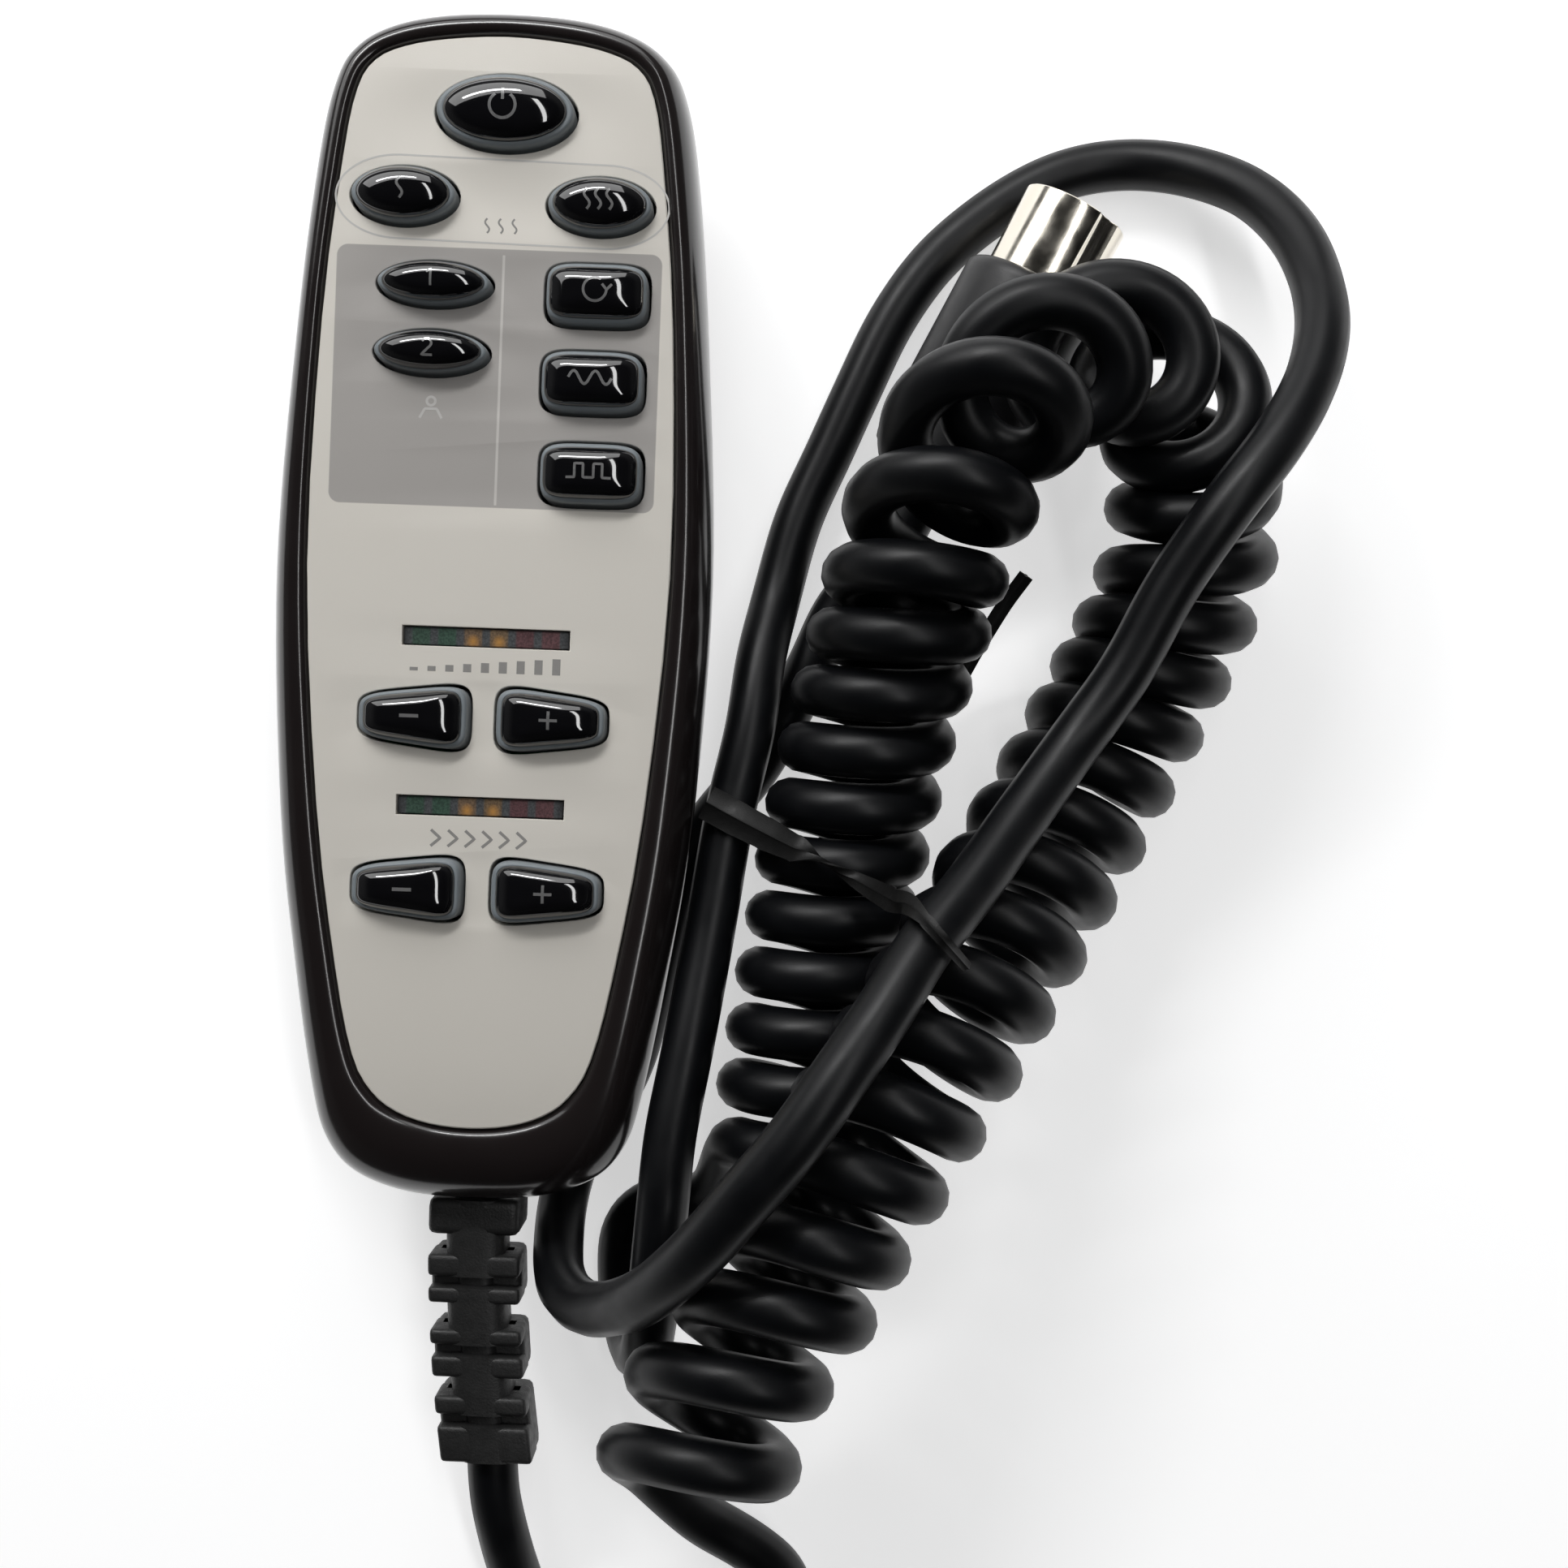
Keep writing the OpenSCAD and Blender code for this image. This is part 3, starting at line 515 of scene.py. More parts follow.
# The plate's ledge and the cavity in the back are the outline shrunk by (x, y).
LEDGE_SCALE, CAVITY_SCALE = (0.93, 0.96), (0.91, 0.968)
CASE_SCREWS = [(0, 47.5), (-9.5, 5.5), (9.5, 5.5), (0, -47.5)]
WIDE_HALF = [
    (0, 70.5), (8, 70.1), (14.2, 68.6), (18.4, 66), (20.8, 62), (22.6, 53), (24.5, 33),
    (26, 4), (24.6, -25), (22, -44.5), (19.6, -58), (17.7, -64), (14.2, -67.8), (8, -70),
    (0, -70.5)]
FACE_HALF = [
    (0, 66.6), (7, 66.1), (12, 65.1), (15.4, 63.4), (17.4, 60), (18.8, 52), (20.6, 33),
    (21.3, 4), (19.2, -24), (16.3, -43), (14, -53), (11.6, -57.3), (8.6, -59.6), (4.6, -60.9),
    (0, -61.3)]
KEEL_HALF = [
    (0, 56), (3, 56), (5.5, 55.3), (7.5, 54), (9, 51.5), (10.4, 46), (12, 30),
    (13, 3), (12, -20), (9.5, -38), (7, -49), (5.4, -52.5), (3.8, -54), (2, -54.8), (0, -55)]


def closed_loop(half, steps=7):
    """The same Catmull-Rom outline as the CAD's, with more points."""
    ring = [Vector(p) for p in half] + [Vector((-x, y)) for x, y in half[-2:0:-1]]
    n, out = len(ring), []
    for i in range(n):
        a, b, c, d = (ring[(i + k) % n] for k in (-1, 0, 1, 2))
        for k in range(steps):
            t = k / steps
            out.append(0.5 * (2 * b + (c - a) * t + (2 * a - 5 * b + 4 * c - d) * t * t
                              + (3 * b - a - 3 * c + d) * t ** 3))
    return out


WIDE, FACE_LOOP, KEEL = (closed_loop(h) for h in (WIDE_HALF, FACE_HALF, KEEL_HALF))


def blend(a, b, part):
    return [p.lerp(q, part) for p, q in zip(a, b)]


def ring_at(loop, z, sx=1.0, sy=1.0):
    return [(p.x * sx, p.y * sy, z) for p in loop]


def flank(z):
    up = 1 - z / WIDE_Z
    return blend(KEEL, WIDE, max(0.0, 1 - max(up, 0) ** FLANK_POWER) ** (1 / FLANK_POWER))


def case_top():
    rings = [ring_at(blend(flank(PARTING_Z), FACE_LOOP, 0.03), PARTING_Z + 0.02),
             ring_at(flank(PARTING_Z + 0.35), PARTING_Z + 0.35)]
    rings += [ring_at(flank(z), z) for z in (12.9, 13.7, 14.4)]
    for k in range(13):
        a = math.radians(90 * k / 12)
        rings.append(ring_at(blend(WIDE, FACE_LOOP, BEAD_PART * (1 - math.cos(a))),
                             WIDE_Z + (BEAD_Z - WIDE_Z) * math.sin(a)))
    for part, z in ((0.8, 21.57), (0.87, 21.46), (0.93, 21.25), (0.97, 20.95), (0.985, 20.6)):
        rings.append(ring_at(blend(WIDE, FACE_LOOP, part), z))
    rings += [ring_at(FACE_LOOP, PLATE_Z + 0.3), ring_at(FACE_LOOP, PLATE_Z),
              ring_at(FACE_LOOP, PLATE_Z, *LEDGE_SCALE), ring_at(FACE_LOOP, DECK_Z, *LEDGE_SCALE)]
    cavity = blend(WIDE, FACE_LOOP, 0.52)
    rings += [ring_at(cavity, DECK_Z - 0.8), ring_at(cavity, PARTING_Z + 0.02)]
    points, faces = loft(rings, endless=True)
    from_points("case_top", points, faces, SHELL, HANDSET, "shell_black", ("upper_shell",))


# A screw well, sunk into the back and lightly chamfered, as (height, radius).
WELL_PROFILE = [(-1, 3.1), (0, 3.1), (0.3, 2.8), (1.7, 2.8), (2.7, 2.8), (2.7, 1.6), (6, 1.6)]


def case_back():
    heights = [0, 0.12, 0.3, 0.55, 0.9, 1.4, 2.1, 3, 4.2, 5.6, 7.2, 9, 10.6]
    outer = [ring_at(flank(0), 0, 0.985, 0.995)] + [ring_at(flank(z), z) for z in heights[1:]]
    outer += [ring_at(flank(11.65), 11.65),
              ring_at(blend(flank(PARTING_Z), KEEL, 0.02), PARTING_Z - 0.02)]
    inner = [ring_at(flank(z - FLOOR_T), z, *CAVITY_SCALE)
             for z in (PARTING_Z - 0.02, 9.5, 7, 5.2, 4, FLOOR_T)]
    points, faces = loft(outer + inner)
    case = from_points("case_back", points, faces, SHELL, HANDSET, "shell_black",
                       ("lower_shell",))
    wells = []
    for x, y in CASE_SCREWS:
        rings = []
        for z, r in WELL_PROFILE:
            rings.append([(x + r * math.cos(a), y + r * math.sin(a), z)
                          for a in (math.tau * k / 40 for k in range(40))])
        wells.append(loft(rings))
    cut(case, wells, SHELL, "shell_black")


def cut(obj, parts, material, slot, self_crossing=False):
    """Takes closed (points, faces) parts away from an object's mesh."""
    cutter = from_points(obj.name + "_cutter", *joined(parts), material, HANDSET, slot)
    modifier = obj.modifiers.new("cut", "BOOLEAN")
    modifier.object = cutter
    modifier.operation = "DIFFERENCE"
    modifier.solver = "EXACT"
    modifier.use_self = self_crossing
    graph = bpy.context.evaluated_depsgraph_get()
    mesh = bpy.data.meshes.new_from_object(obj.evaluated_get(graph), depsgraph=graph)
    mesh.polygons.foreach_set("use_smooth", [True] * len(mesh.polygons))
    mesh.set_sharp_from_angle(angle=math.radians(40))
    obj.modifiers.clear()
    obj.data = mesh
    bpy.data.objects.remove(cutter)


case_top()
case_back()

# ---------------------------------------------------------------- keys

ELLIPSE, ROUNDED, TAPERED = 2.0, 4.4, 4.6
KEY_GAP, KEY_FOOT, SKIRT_TOP, CAP_RISE = 0.4, 14.1, 22.5, 1.8
SKIRT_LEAN, SHOULDER = 0.12, 0.5
# A tapered key's height at its middle, as a part of its full height, and how much that grows
# to its inner side.
TAPER_MIDDLE, TAPER_SIDE = 0.81, 0.19
# Name: middle, opening, cap and outline of each key. A negative width mirrors a tapered one.
KEYS = {
    "power": ((0.2, 57.4), (16.9, 9.4), (14.4, 7.4), ELLIPSE),
    "heat_low": ((-11.3, 47.4), (13, 7.3), (10.9, 5.9), ELLIPSE),
    "heat_high": ((11.6, 46.9), (13, 7.3), (10.9, 5.9), ELLIPSE),
    "zone_1": ((-7.4, 37.2), (14, 5.8), (11.9, 4.5), ELLIPSE),
    "zone_2": ((-7.5, 29.2), (14, 5.8), (11.9, 4.5), ELLIPSE),
    "select": ((11.6, 36.5), (12.6, 7.9), (11, 6), ROUNDED),
    "wave": ((11.4, 26.3), (12.6, 7.9), (11, 6), ROUNDED),
    "pulse": ((11.6, 15.6), (12.6, 7.9), (11, 6), ROUNDED),
    "intensity_down": ((-8, -13.3), (13.5, 8.8), (11.4, 6.9), TAPERED),
    "intensity_up": ((8, -13.3), (-13.5, 8.8), (-11.4, 6.9), TAPERED),
    "speed_down": ((-8.1, -33.3), (13.5, 8.8), (11.4, 6.9), TAPERED),
    "speed_up": ((8.1, -33.3), (-13.5, 8.8), (-11.4, 6.9), TAPERED),
}
WINDOWS = [-3.8, -23.6]
WINDOW_SIZE = (19.6, 2.3)


def key_point(size, power, angle):
    c, s = math.cos(angle), math.sin(angle)
    x = size[0] / 2 * math.copysign(abs(c) ** (2 / power), c)
    y = size[1] / 2 * math.copysign(abs(s) ** (2 / power), s)
    if power == TAPERED:
        y *= TAPER_MIDDLE + TAPER_SIDE * 2 * x / size[0]
    return x, y


def key_ring(key, size, z=None, count=96):
    (cx, cy), _, _, power = key
    out = []
    for k in range(count):
        x, y = key_point(size, power, math.tau * (k + 0.5) / count)
        out.append((cx + x, cy + y) if z is None else (cx + x, cy + y, z))
    return out


def grown(size, by):
    return (math.copysign(abs(size[0]) + by, size[0]), size[1] + by)


def dome(t):
    """Height of a cap's dome above its foot, at a part t of the way to its edge."""
    return CAP_RISE * max(0.0, 1 - t ** 2.5) ** (1 / 1.75)


def cap_part(key, x, y):
    """How far out towards the cap's edge a point is, from 0 to 1."""
    _, _, size, power = key
    a, b = abs(size[0]) / 2, size[1] / 2
    t = 0.5
    for _ in range(4):
        squeeze = 1.0
        if power == TAPERED:
            side = x / (size[0] / 2)
            squeeze = TAPER_MIDDLE + TAPER_SIDE * max(-1, min(1, side / max(t, 0.05)))
        t = ((abs(x) / a) ** power + (abs(y) / (b * squeeze)) ** power) ** (1 / power)
    return t


def skirt_and_cap(name, key):
    body = name + "_button"
    size = grown(key[1], -2 * KEY_GAP)
    top = SKIRT_TOP
    rings = [key_ring(key, size, z) for z in (KEY_FOOT, KEY_FOOT + 3, FACE_Z)]
    # The skirt leans in a little and ends in a rounded shoulder round the cap's foot.
    rings.append(key_ring(key, grown(size, -SKIRT_LEAN), top - 0.75))
    for k in range(1, 6):
        a = math.radians(90 * k / 5)
        inwards = SKIRT_LEAN + 2 * SHOULDER * (1 - math.cos(a))
        rings.append(key_ring(key, grown(size, -inwards),
                              top - SHOULDER + SHOULDER * math.sin(a)))
    rings.append(key_ring(key, grown(key[2], 0.15), top))
    rings.append(key_ring(key, grown(key[2], -0.4), top - 0.25))
    points, faces = loft(rings)
    from_points("skirt_" + name, points, faces, SILICONE, body, "silicone_grey",
                ("key_" + name,), flat_over=60)
    rings = [key_ring(key, key[2], top - 0.2), key_ring(key, key[2], top)]
    for k in range(1, 20):
        t = math.cos(math.radians(88.5 * k / 19))
        rings.append(key_ring(key, (key[2][0] * t, key[2][1] * t), top + dome(t)))
    points, faces = loft(rings)
    from_points("dome_" + name, points, faces, CAP, body, "cap_black", ("cap_" + name,),
                flat_over=60)


for key_name, key in KEYS.items():
    skirt_and_cap(key_name, key)

# ---------------------------------------------------------------- face

OVERLAY_HALF, OVERLAY_EDGE = 0.16, 0.14
FACE_TOP = FACE_Z + OVERLAY_EDGE


def face_overlay():
    """The printed overlay: one sheet with a rounded edge round every opening."""
    shape = bpy.data.curves.new("overlay", "CURVE")
    shape.dimensions = "2D"
    shape.fill_mode = "BOTH"
    shape.extrude = OVERLAY_HALF * MM
    shape.bevel_depth = OVERLAY_EDGE * MM
    shape.bevel_resolution = 3
    shape.offset = -OVERLAY_EDGE * MM
    outlines = [[(p.x * 0.994, p.y * 0.997) for p in FACE_LOOP]]
    outlines += [key_ring(key, key[1], count=80) for key in KEYS.values()]
    for y in WINDOWS:
        w, h = WINDOW_SIZE[0] / 2, WINDOW_SIZE[1] / 2
        outlines.append([(-w, y - h), (w, y - h), (w, y + h), (-w, y + h)])
    for outline in outlines:
        ring = shape.splines.new("POLY")
        ring.points.add(len(outline) - 1)
        for point, (x, y) in zip(ring.points, outline):
            point.co = (x * MM, y * MM, 0, 1)
        ring.use_cyclic_u = True
    holder = bpy.data.objects.new("overlay_curve", shape)
    scene.collection.objects.link(holder)
    graph = bpy.context.evaluated_depsgraph_get()
    graph.update()
    mesh = bpy.data.meshes.new_from_object(holder.evaluated_get(graph), depsgraph=graph)
    bpy.data.objects.remove(holder)
    mesh.transform(Matrix.Translation((0, 0, (FACE_Z - OVERLAY_HALF) * MM)))
    bm = bmesh.new()
    bm.from_mesh(mesh)
    bmesh.ops.remove_doubles(bm, verts=bm.verts, dist=1e-6)
    bmesh.ops.recalc_face_normals(bm, faces=bm.faces)
    bm.to_mesh(mesh)
    bm.free()
    finish_mesh("face_overlay", mesh, FACE, HANDSET, "face_beige", flat_over=50)


face_overlay()


def display_window(name, y):
    w, h = WINDOW_SIZE[0] - 0.3, WINDOW_SIZE[1] - 0.3
    bm = bmesh.new()
    for sx, sy, z0, z1 in ((w, h, DECK_Z - 0.8, FACE_Z - 0.25),
                           (w + 1.8, h + 1.8, DECK_Z - 0.8, DECK_Z - 0.1)):
        made = bmesh.ops.create_cube(bm, size=1)
        for v in made["verts"]:
            v.co = Vector((v.co.x * sx, y + v.co.y * sy, (z0 + z1) / 2 + v.co.z * (z1 - z0))) * MM
    bmesh.ops.bevel(bm, geom=bm.edges[:], offset=0.08 * MM, segments=2, affect="EDGES")
    mesh = bpy.data.meshes.new(name)
    bm.to_mesh(mesh)
    bm.free()
    finish_mesh(name, mesh, DISPLAY, HANDSET, "window_smoke",
                ("lens_" + name.split("_")[1],), flat_over=50)


display_window("window_intensity", WINDOWS[0])
display_window("window_speed", WINDOWS[1])

# ---------------------------------------------------------------- printed signs


def arc(cx, cy, r, start, end, count=24, squash=1.0):
    return [(cx + r * math.cos(math.radians(start + (end - start) * k / count)),
             cy + r * squash * math.sin(math.radians(start + (end - start) * k / count)))
            for k in range(count + 1)]


def wavy(x, y, length, size, upright=True, waves=1.0):
    out = []
    for k in range(17):
        t = k / 16
        off = size * math.sin(math.tau * waves * t)
        out.append((x + off, y + length * (t - 0.5)) if upright
                   else (x + length * (t - 0.5), y + off))
    return out


def strokes(name, lines, width, height_at, material, body, slot):
    """Thin printed lines that lie on a surface. Each line is a run of (x, y) in mm."""
    above, below = 0.014, -0.02
    parts = []
    for run in lines:
        run = even([Vector((x, y, 0)) for x, y in run], 0.16)
        t = directions(run)
        points, faces = [], []
        for p, d in zip(run, t):
            n = Vector((-d.y, d.x, 0)) * width / 2
            for q, lift in ((p - n, above), (p + n, above), (p + n, below), (p - n, below)):
                points.append((q.x, q.y, height_at(q.x, q.y) + lift))
        for k in range(len(run) - 1):
            for i in range(4):
                here, there = 4 * k + i, 4 * k + (i + 1) % 4
                faces.append((here, there, there + 4, here + 4))
        faces.append((0, 1, 2, 3))
        end = 4 * (len(run) - 1)
        faces.append((end + 3, end + 2, end + 1, end))
        parts.append((points, faces))
    points, faces = joined(parts)
    return from_points(name, points, faces, material, body, slot, flat_over=50)


SIGNS = {
    "power": ([arc(0, -0.1, 1.5, 125, 415), [(0, 0.5), (0, 1.9)]], 0.34),
    "heat_low": ([wavy(0, 0, 2.4, 0.35)], 0.3),
    "heat_high": ([wavy(x, 0, 2.4, 0.35) for x in (-1.3, 0, 1.3)], 0.3),
    "zone_1": ([[(-0.45, 0.6), (0.05, 0.95), (0.05, -0.95)]], 0.28),
    "zone_2": ([arc(0, 0.4, 0.55, 160, -35, 14) + [(-0.6, -0.95), (0.65, -0.95)]], 0.28),
    "select": ([arc(0, 0, 1.35, 60, 360), [(0.8, 0.6), (1.35, -0.05), (1.95, 0.6)]], 0.3),
    "wave": ([wavy(0, 0, 5.0, 0.8, False, 2)], 0.32),
    "pulse": ([[(-2.6, -0.8), (-1.6, -0.8), (-1.6, 0.8), (-0.6, 0.8), (-0.6, -0.8), (0.6, -0.8),
                (0.6, 0.8), (1.6, 0.8), (1.6, -0.8), (2.6, -0.8)]], 0.3),
    "intensity_down": ([[(-1.1, 0), (1.1, 0)]], 0.4),
    "intensity_up": ([[(-1.05, 0), (1.05, 0)], [(0, -1.05), (0, 1.05)]], 0.34),
    "speed_down": ([[(-1.1, 0), (1.1, 0)]], 0.4),
    "speed_up": ([[(-1.05, 0), (1.05, 0)], [(0, -1.05), (0, 1.05)]], 0.34),
}
for key_name, (lines, width) in SIGNS.items():
    key = KEYS[key_name]
    (cx, cy) = key[0]
    strokes("sign_" + key_name, [[(cx + x, cy + y) for x, y in run] for run in lines], width,
            lambda x, y, k=key: SKIRT_TOP + dome(min(1, cap_part(k, x - k[0][0], y - k[0][1]))),
            CAP_PRINT, key_name + "_button", "cap_black")


def on_face(x, y):
    return FACE_TOP


heat_marks = [wavy(x, 44.3, 1.7, 0.26) for x in (-1.6, 0, 1.6)]
intensity_marks = [[(-8.3 + 2.08 * k, -7.9), (-8.3 + 2.08 * k, -7.5 + 0.185 * k)]
                   for k in range(9)]
speed_marks = [[(x - 0.6, -26.4), (x + 0.5, -27.35), (x - 0.6, -28.3)]
               for x in (-5.0, -3.0, -1.0, 1.0, 3.0, 5.0)]
zone_marks = [arc(-7.4, 23.6, 0.5, 0, 360, 20),
              [(-8.7, 21.6), (-8.1, 22.7), (-6.7, 22.7), (-6.1, 21.6)]]
strokes("print_heat", heat_marks, 0.22, on_face, PRINT, HANDSET, "face_beige")
strokes("print_intensity", intensity_marks, 0.95, on_face, PRINT, HANDSET, "face_beige")
strokes("print_speed", speed_marks, 0.34, on_face, PRINT, HANDSET, "face_beige")
strokes("print_zones", zone_marks, 0.3, on_face, PRINT_LIGHT, HANDSET, "face_beige")
outline = arc(-12.0, 47.35, 7.4, 90, 270, 30, 0.66) + arc(12.2, 46.95, 7.4, -90, 90, 30, 0.66)
outline.append(outline[0])
strokes("print_outline", [outline], 0.22, on_face, PRINT_LIGHT, HANDSET, "face_beige")

# ---------------------------------------------------------------- strain relief


def soft_box(bm, low, high, edge):
    """A box between two corners with rounded edges."""
    made = bmesh.ops.create_cube(bm, size=1)
    lo, hi = Vector(low), Vector(high)
    for v in made["verts"]:
        v.co = Vector([(lo[i] + hi[i]) / 2 + v.co[i] * (hi[i] - lo[i]) for i in range(3)])
    edges = list({e for v in made["verts"] for e in v.link_edges})
    bmesh.ops.bevel(bm, geom=edges, offset=edge, segments=3, affect="EDGES", profile=0.6)


RELIEF_Z = 11
RELIEF_ROOT_Y, RELIEF_STUB_Y, RELIEF_END_Y = -71, -75.2, -102.5
RELIEF_HALF, RELIEF_LOW, RELIEF_HIGH = 5.5, 3.3, 4.6
SLIT_FLOOR = 2.6
# Where each block starts, its slit's two sides, and where it ends.
RELIEF_BLOCKS = [(-77.6, -80.2, -81.5, -83.4), (-86.6, -88.4, -89.8, -92.3),
                 (-94.6, -96.8, -98.2, -102.5)]
# Half width and top of the spine: inside the shell, between the slits, and in a slit.
NECK, SPINE, IN_SLIT = (3.2, 3.2), (3.6, RELIEF_HIGH), (2.4, 3.5)
SPINE_LOW, SPINE_SQUARENESS = -3.2, 0.55


def relief_bend(y):
    """How far the boot has bent sideways at y, since the cord pulls on it."""
    return 2.6 * (min(0.0, y - RELIEF_ROOT_Y) / (RELIEF_ROOT_Y - RELIEF_END_Y)) ** 2


def squared(value):
    """A sine or cosine pushed outwards, for a rounded rectangle."""
    return math.copysign(abs(value) ** SPINE_SQUARENESS, value)


def spine_ring(y, half, top):
    middle, rise = RELIEF_Z + (top + SPINE_LOW) / 2, (top - SPINE_LOW) / 2
    return [(half * squared(math.cos(a)), y, middle + rise * squared(math.sin(a)))
            for a in (math.tau * (k + 0.5) / 48 for k in range(48))]


def strain_relief():
    """Rubber boot: a spine with cross blocks as high as itself. Each block is slit across
    its top, and the spine dips into the slit."""
    bm = bmesh.new()
    w, low, high = RELIEF_HALF, RELIEF_Z - RELIEF_LOW, RELIEF_Z + RELIEF_HIGH
    soft_box(bm, (-w, RELIEF_STUB_Y, low), (w, -70.8, high), 1.1)
    spine = [(-62.5, *NECK), (-70.9, *NECK), (RELIEF_ROOT_Y, *SPINE)]
    for start, slit_a, slit_b, end in RELIEF_BLOCKS:
        soft_box(bm, (-w, end, low), (w, start, RELIEF_Z + SLIT_FLOOR), 1.1)
        for a, b in ((start, slit_a), (slit_b, end)):
            soft_box(bm, (-w, b, RELIEF_Z - 0.6), (w, a, high - 0.08), 0.6)
        spine += [((spine[-1][0] + slit_a) / 2, *SPINE), (slit_a, *SPINE),
                  (slit_a - 0.1, *IN_SLIT), (slit_b + 0.1, *IN_SLIT), (slit_b, *SPINE)]
    spine.append((RELIEF_END_Y, *SPINE))
    points, faces = loft([spine_ring(*row) for row in spine])
    verts = [bm.verts.new(p) for p in points]
    for f in faces:
        bm.faces.new([verts[i] for i in f])
    bmesh.ops.recalc_face_normals(bm, faces=bm.faces)
    for v in bm.verts:
        v.co = Vector((v.co.x + relief_bend(v.co.y), v.co.y, v.co.z)) * MM
    mesh = bpy.data.meshes.new("strain_relief_boot")
    bm.to_mesh(mesh)
    bm.free()
    finish_mesh("strain_relief_boot", mesh, RELIEF, HANDSET, "cord_black",
                ("strain_relief",), flat_over=50)


strain_relief()

# ---------------------------------------------------------------- plug

PLUG_PLACE = (Matrix.Translation(PLUG_MOUTH) @ Matrix.Rotation(PLUG_TURN, 4, "Z")
              @ Matrix.Rotation(PLUG_LIFT - math.pi / 2, 4, "X"))
# The groove that keys the shell: where it is round the axis, its depth and half width.
KEY_ANGLE, KEY_DEPTH, KEY_HALF = math.radians(-52), 0.55, 0.24


def turned(profile, count, radius_at=None):
    """Rings about the plug's axis through (radius, distance along the axis)."""
    rings = []
    for r, z in profile:
        ring = []
        for k in range(count):
            a = math.tau * k / count
            rr = r if radius_at is None else radius_at(r, a)
            ring.append(PLUG_PLACE @ Vector((rr * math.cos(a), rr * math.sin(a), z)))
        rings.append(ring)
    return rings


def plug_pieces():
    grip = [(0.5, -9.9), (7.2, -9.9), (7.75, -10.05), (8.3, -10.35), (8.65, -10.8), (8.8, -11.5),
            (8.8, -14), (8.8, -33)]
    grip += [(8.75, -34), (8.5, -34.8), (7.9, -35.4), (7.2, -35.8), (6.4, -36.1)]
    for k in range(3):
        z = -36.3 - 1.15 * k
        grip += [(5.9 - 0.45 * k, z), (5.9 - 0.45 * k, z - 0.55), (4.9 - 0.35 * k, z - 0.7),
                 (4.9 - 0.35 * k, z - 1.0)]
    grip += [(4.2, -39.8), (3.9, -40), (0.5, -40)]
    points, faces = loft(turned(grip, 72))
    a = from_points("plug_boot", points, faces, GRIP, HANDSET, "plug_black", ("plug_grip",))

    def keyed(r, angle):
        """A shallow groove along the shell keys the plug."""
        off = abs((angle - KEY_ANGLE + math.pi) % math.tau - math.pi)
        return r - KEY_DEPTH * max(0.0, 1 - (off / KEY_HALF) ** 4)

    shell = [(6.0, -0.05), (6.12, 0.0), (6.45, 0.0), (6.58, -0.12), (6.6, -0.4), (6.6, -9.7),
             (6.6, -10), (6.0, -10), (6.0, -9.6), (6.0, -0.4)]
    points, faces = loft(turned(shell, 144, keyed), endless=True)
    b = from_points("plug_barrel", points, faces, NICKEL, HANDSET, "nickel", ("plug_shell",),
                    flat_over=35)
    return [a, b]


plug = plug_pieces()

# ---------------------------------------------------------------- twist tie

# Each row is a point of the ribbon's middle and its width there.
TIE_ROUTE = [
    (26.2, -22.1, 15.9, 4.2), (29.2, -23.6, 16.5, 4.2), (34.1, -25.8, 20.3, 3.8),
    (37.5, -27.2, 23.8, 3.0), (39.8, -28.1, 24.9, 1.3), (43.1, -29.8, 25, 1.6),
    (45.8, -31.1, 28, 2.4), (47.7, -31.8, 34, 2.8), (48.9, -31.8, 40, 2.4),
    (50.1, -32.7, 43.2, 1.6), (52.2, -34.9, 44.6, 1.4), (55.4, -38.2, 40.6, 1.2)]
TAIL_ROUTE = [
    (63.9, 6.8, 13, 1.9), (61.9, 3.7, 10.5, 1.9), (60.3, 0.7, 8, 1.9), (58.7, -2.4, 6, 1.9),
    (57.1, -5.7, 4.6, 1.9), (54, -11.5, 3.2, 1.9), (50.5, -17.5, 1.9, 1.9), (46, -23.5, 1.0, 1.9),
    (40, -27.5, 0.9, 1.9)]


# Half thickness of the tie at its edges, beside its wire and over its wire, and the wire's
# half width.
EDGE_T, BESIDE_T, WIRE_T, WIRE_HALF = 0.1, 0.12, 0.34, 0.3


def ribbon(rows, twist=(0.0, 1.0, 0.0)):
    """A flat tie with its wire as a ridge down the middle; it twists between two parts of
    its length by so many degrees."""
    run = centripetal([row[:3] for row in rows], 0.5)
    t = directions(run)
    spots = [(row[0], row[3]) for row in rows]
    twist_from, twist_to, degrees = twist
    rings = []
    for i, p in enumerate(run):
        (xa, wa), (xb, wb) = sorted(spots, key=lambda spot: abs(spot[0] - p.x))[:2]
        half = (wa + (wb - wa) * (p.x - xa) / (xb - xa)) / 2
        top = [(-half, EDGE_T), (-WIRE_HALF, BESIDE_T), (0.0, WIRE_T), (WIRE_HALF, BESIDE_T),
               (half, EDGE_T)]
        profile = top + [(x, -y) for x, y in reversed(top)]
        across = t[i].cross(Vector((0, 0, 1))).normalized()
        up = across.cross(t[i])
        part = (i / (len(run) - 1) - twist_from) / (twist_to - twist_from)
        a = math.radians(degrees * max(0.0, min(1.0, part)))
        u = math.cos(a) * across + math.sin(a) * up
        v = math.cos(a) * up - math.sin(a) * across
        rings.append([p + u * x + v * y for x, y in profile])
    return loft(rings)


points, faces = joined([ribbon(TIE_ROUTE, (0.28, 0.44, 180)), ribbon(TAIL_ROUTE)])
tie = from_points("twist_ribbon", points, faces, TIE, HANDSET, "tie_black",
                  ("twist_tie",), flat_over=60)

# ---------------------------------------------------------------- screws


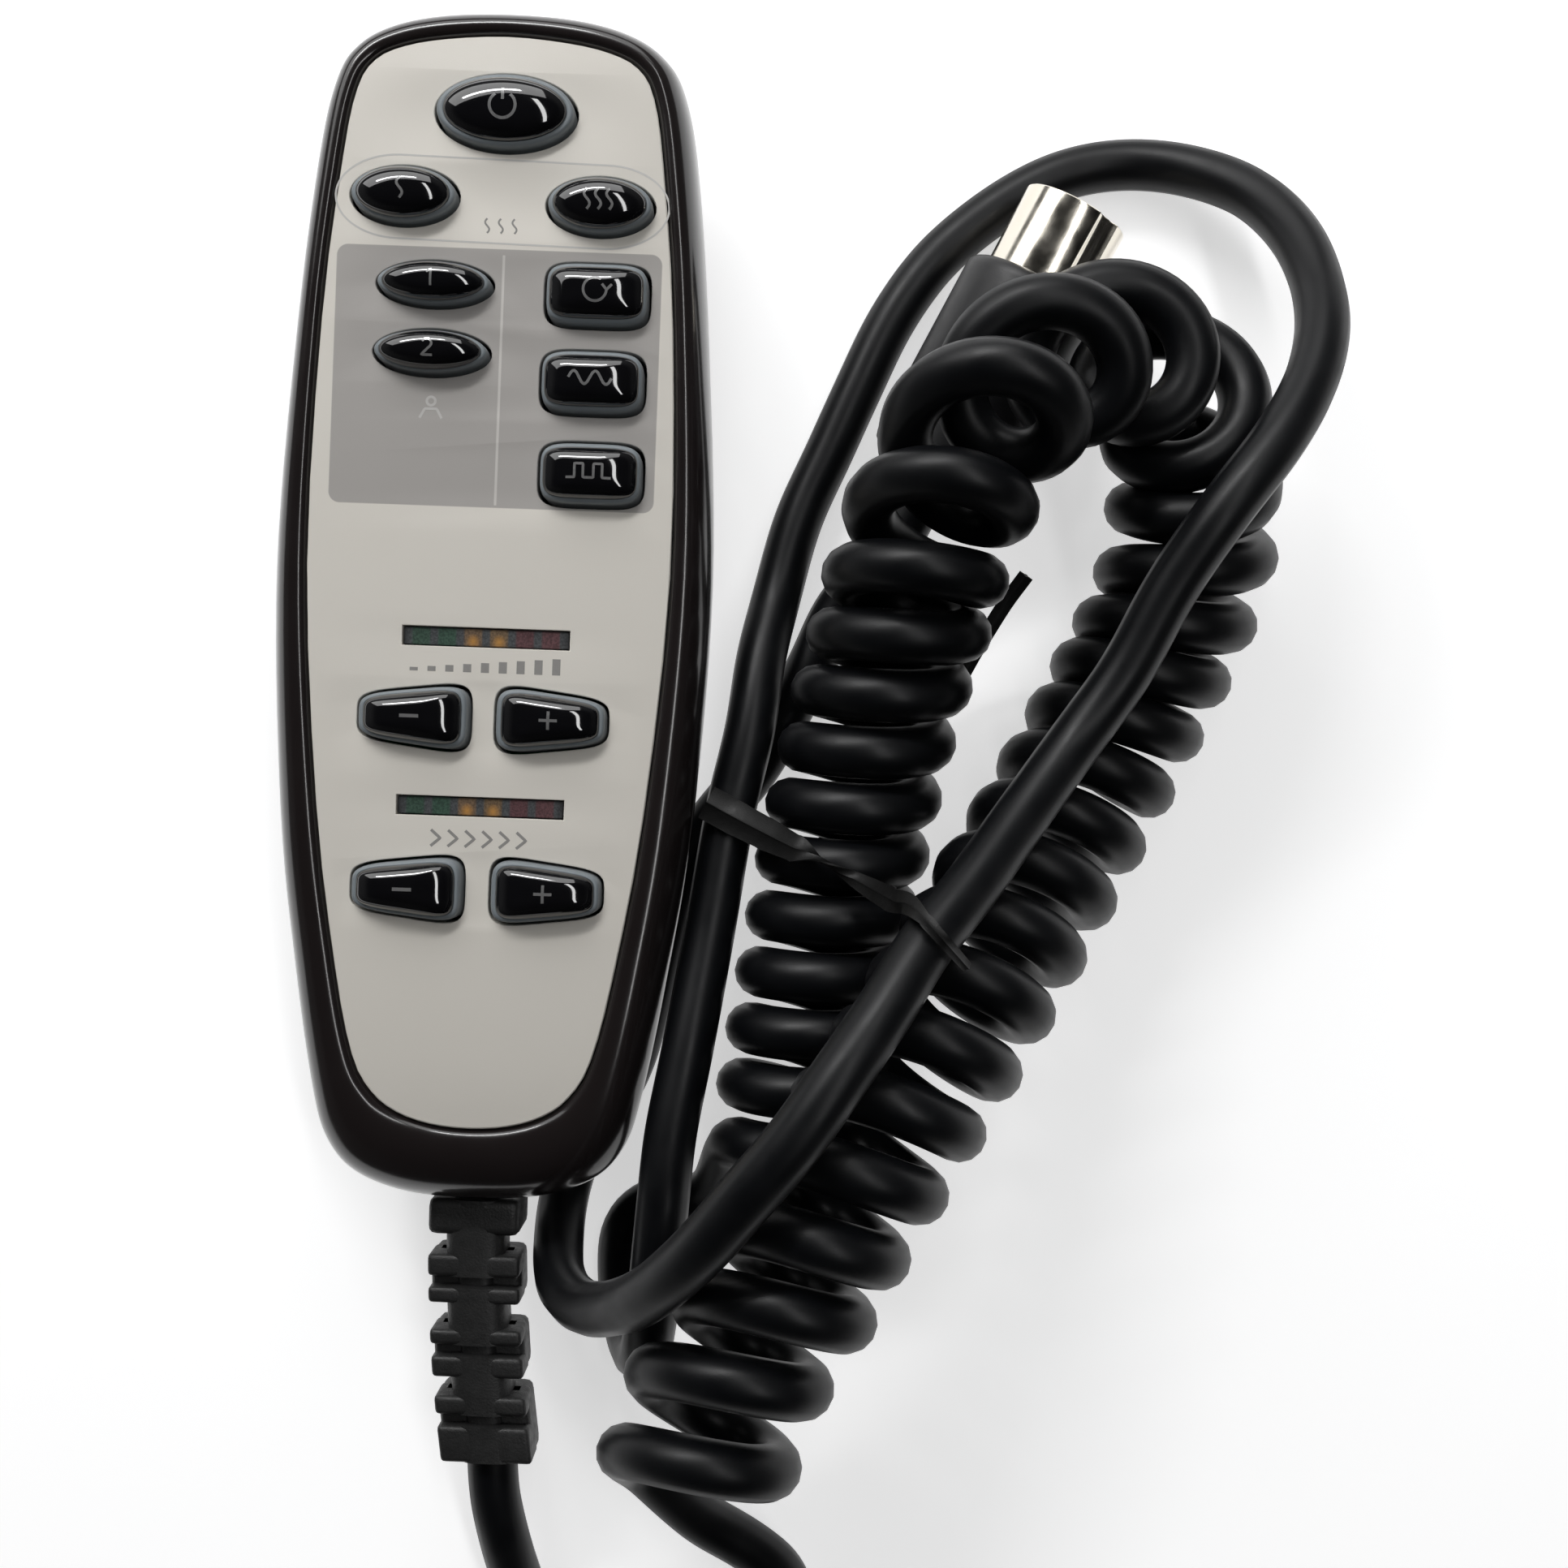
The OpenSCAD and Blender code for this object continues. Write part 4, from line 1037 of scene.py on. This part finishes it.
def screws():
    """Sunk pan heads with a cross recess, at the back."""
    profile = [(0.05, 0.45), (1.6, 0.32), (2.2, 0.42), (2.45, 0.75), (2.5, 1.2), (2.5, 1.7),
               (1.25, 1.7), (1.25, 12.1), (0.3, 12.3)]
    parts = []
    for x, y in CASE_SCREWS:
        rings = [[(x + r * math.cos(a), y + r * math.sin(a), z)
                  for a in (math.tau * k / 36 for k in range(36))] for r, z in profile]
        parts.append(loft(rings))
    heads = from_points("back_screws", *joined(parts), STEEL, HANDSET, "screw_steel",
                        ("case_screws",))
    cuts = []
    for x, y in CASE_SCREWS:
        for turn in (0.4, 0.4 + math.pi / 2):
            c, s = math.cos(turn), math.sin(turn)
            rings = []
            for z, w in ((0, 1.55), (1.25, 0.7)):
                rings.append([(x + c * u - s * v, y + s * u + c * v, z)
                              for u, v in ((-w, -0.28), (w, -0.28), (w, 0.28), (-w, 0.28))])
            cuts.append(loft(rings))
    cut(heads, cuts, STEEL, "screw_steel", self_crossing=True)


screws()

# ---------------------------------------------------------------- carried-over CAD nodes

CARRIED = {
    FACE: ["faceplate"],
    SILICONE: ["keypad_mat"],
    SOLDER_MASK: ["circuit_board"],
    CARBON: ["board_contacts"],
    BLACK_PLASTIC: ["control_chip", "light_baffle_intensity", "light_baffle_speed",
                    "cable_clamp", "plug_insulator"],
    DIFFUSER: ["led_row_intensity", "led_row_speed"],
    IVORY: ["cable_header"],
    WIRE: ["inner_wires"],
    STEEL: ["board_screws"],
    NICKEL: ["plug_pins"],
}
for material, names in CARRIED.items():
    for name in names:
        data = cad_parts[name].data
        data.materials.clear()
        data.materials.append(material)

# ---------------------------------------------------------------- floor and light


def floor():
    """White sheet; its faint glow keeps the shadows on it light."""
    m = Nodes("floor_white")
    m.put(m.shader.inputs["Base Color"],
          m.mix(m.noise(60, 3), (0.80, 0.80, 0.805), (0.82, 0.82, 0.825)))
    m.set(Roughness=0.8, Specular_IOR_Level=0.1, Emission_Color=(1, 1, 1, 1),
          Emission_Strength=0.58)
    half = 1.5
    mesh = bpy.data.meshes.new("floor")
    mesh.from_pydata([(-half, -half, 0), (half, -half, 0), (half, half, 0), (-half, half, 0)],
                     [], [(0, 1, 2, 3)])
    mesh.materials.append(m.material)
    obj = bpy.data.objects.new("floor", mesh)
    scene.collection.objects.link(obj)


def area_light(name, place, aim, size, radiance, roll=0.0):
    """A flat panel facing aim; radiance is its brightness as seen in a mirror."""
    lamp = bpy.data.lights.new(name, "AREA")
    lamp.shape = "RECTANGLE"
    lamp.size, lamp.size_y = size
    lamp.energy = radiance * math.pi * size[0] * size[1]
    obj = bpy.data.objects.new(name, lamp)
    scene.collection.objects.link(obj)
    obj.location = place
    facing = (Vector(aim) - Vector(place)).to_track_quat("-Z", "Y")
    obj.rotation_euler = (facing.to_matrix() @ Matrix.Rotation(roll, 3, "Z")).to_euler()


def sky():
    """Dim room: dark overhead and towards the viewer, lighter walls at the left and behind."""
    world = bpy.data.worlds.new("sky")
    scene.world = world
    world.use_nodes = True
    tree = world.node_tree
    place = tree.nodes.new("ShaderNodeTexCoord")
    parts = tree.nodes.new("ShaderNodeSeparateXYZ")
    tree.links.new(place.outputs["Generated"], parts.inputs[0])

    def math_node(operation, a, b, clamp=False):
        node = tree.nodes.new("ShaderNodeMath")
        node.operation, node.use_clamp = operation, clamp
        for socket, value in zip(node.inputs, (a, b)):
            if isinstance(value, bpy.types.NodeSocket):
                tree.links.new(value, socket)
            else:
                socket.default_value = value
        return node.outputs[0]

    side = math_node("ADD", math_node("MULTIPLY", parts.outputs[1], 0.5),
                     math_node("MULTIPLY", parts.outputs[0], -0.3))
    side = math_node("ADD", side, 0.5, clamp=True)
    rise = tree.nodes.new("ShaderNodeMapRange")
    rise.interpolation_type = "SMOOTHSTEP"
    tree.links.new(parts.outputs[2], rise.inputs[0])
    for socket, value in zip(rise.inputs[1:5], (0.42, 0.72, SKY_WALL, 0.0)):
        socket.default_value = value
    glow = math_node("ADD", math_node("MULTIPLY", rise.outputs[0], side), SKY_TOP)
    tree.links.new(glow, tree.nodes["Background"].inputs[1])


SKY_WALL, SKY_TOP = 1.9, 0.08
floor()
sky()
centre = (0.035, -0.02, 0.01)
area_light("window", (-0.20, 0.52, 0.36), centre, (0.85, 0.40), 2.2)
area_light("window_sill", (-0.21, 0.535, 0.50), centre, (0.42, 0.05), 30)
area_light("ceiling_strip", (0.192, 0.132, 0.60), (0.192, 0.132, 0), (0.06, 0.70), 8,
           math.radians(17.8))
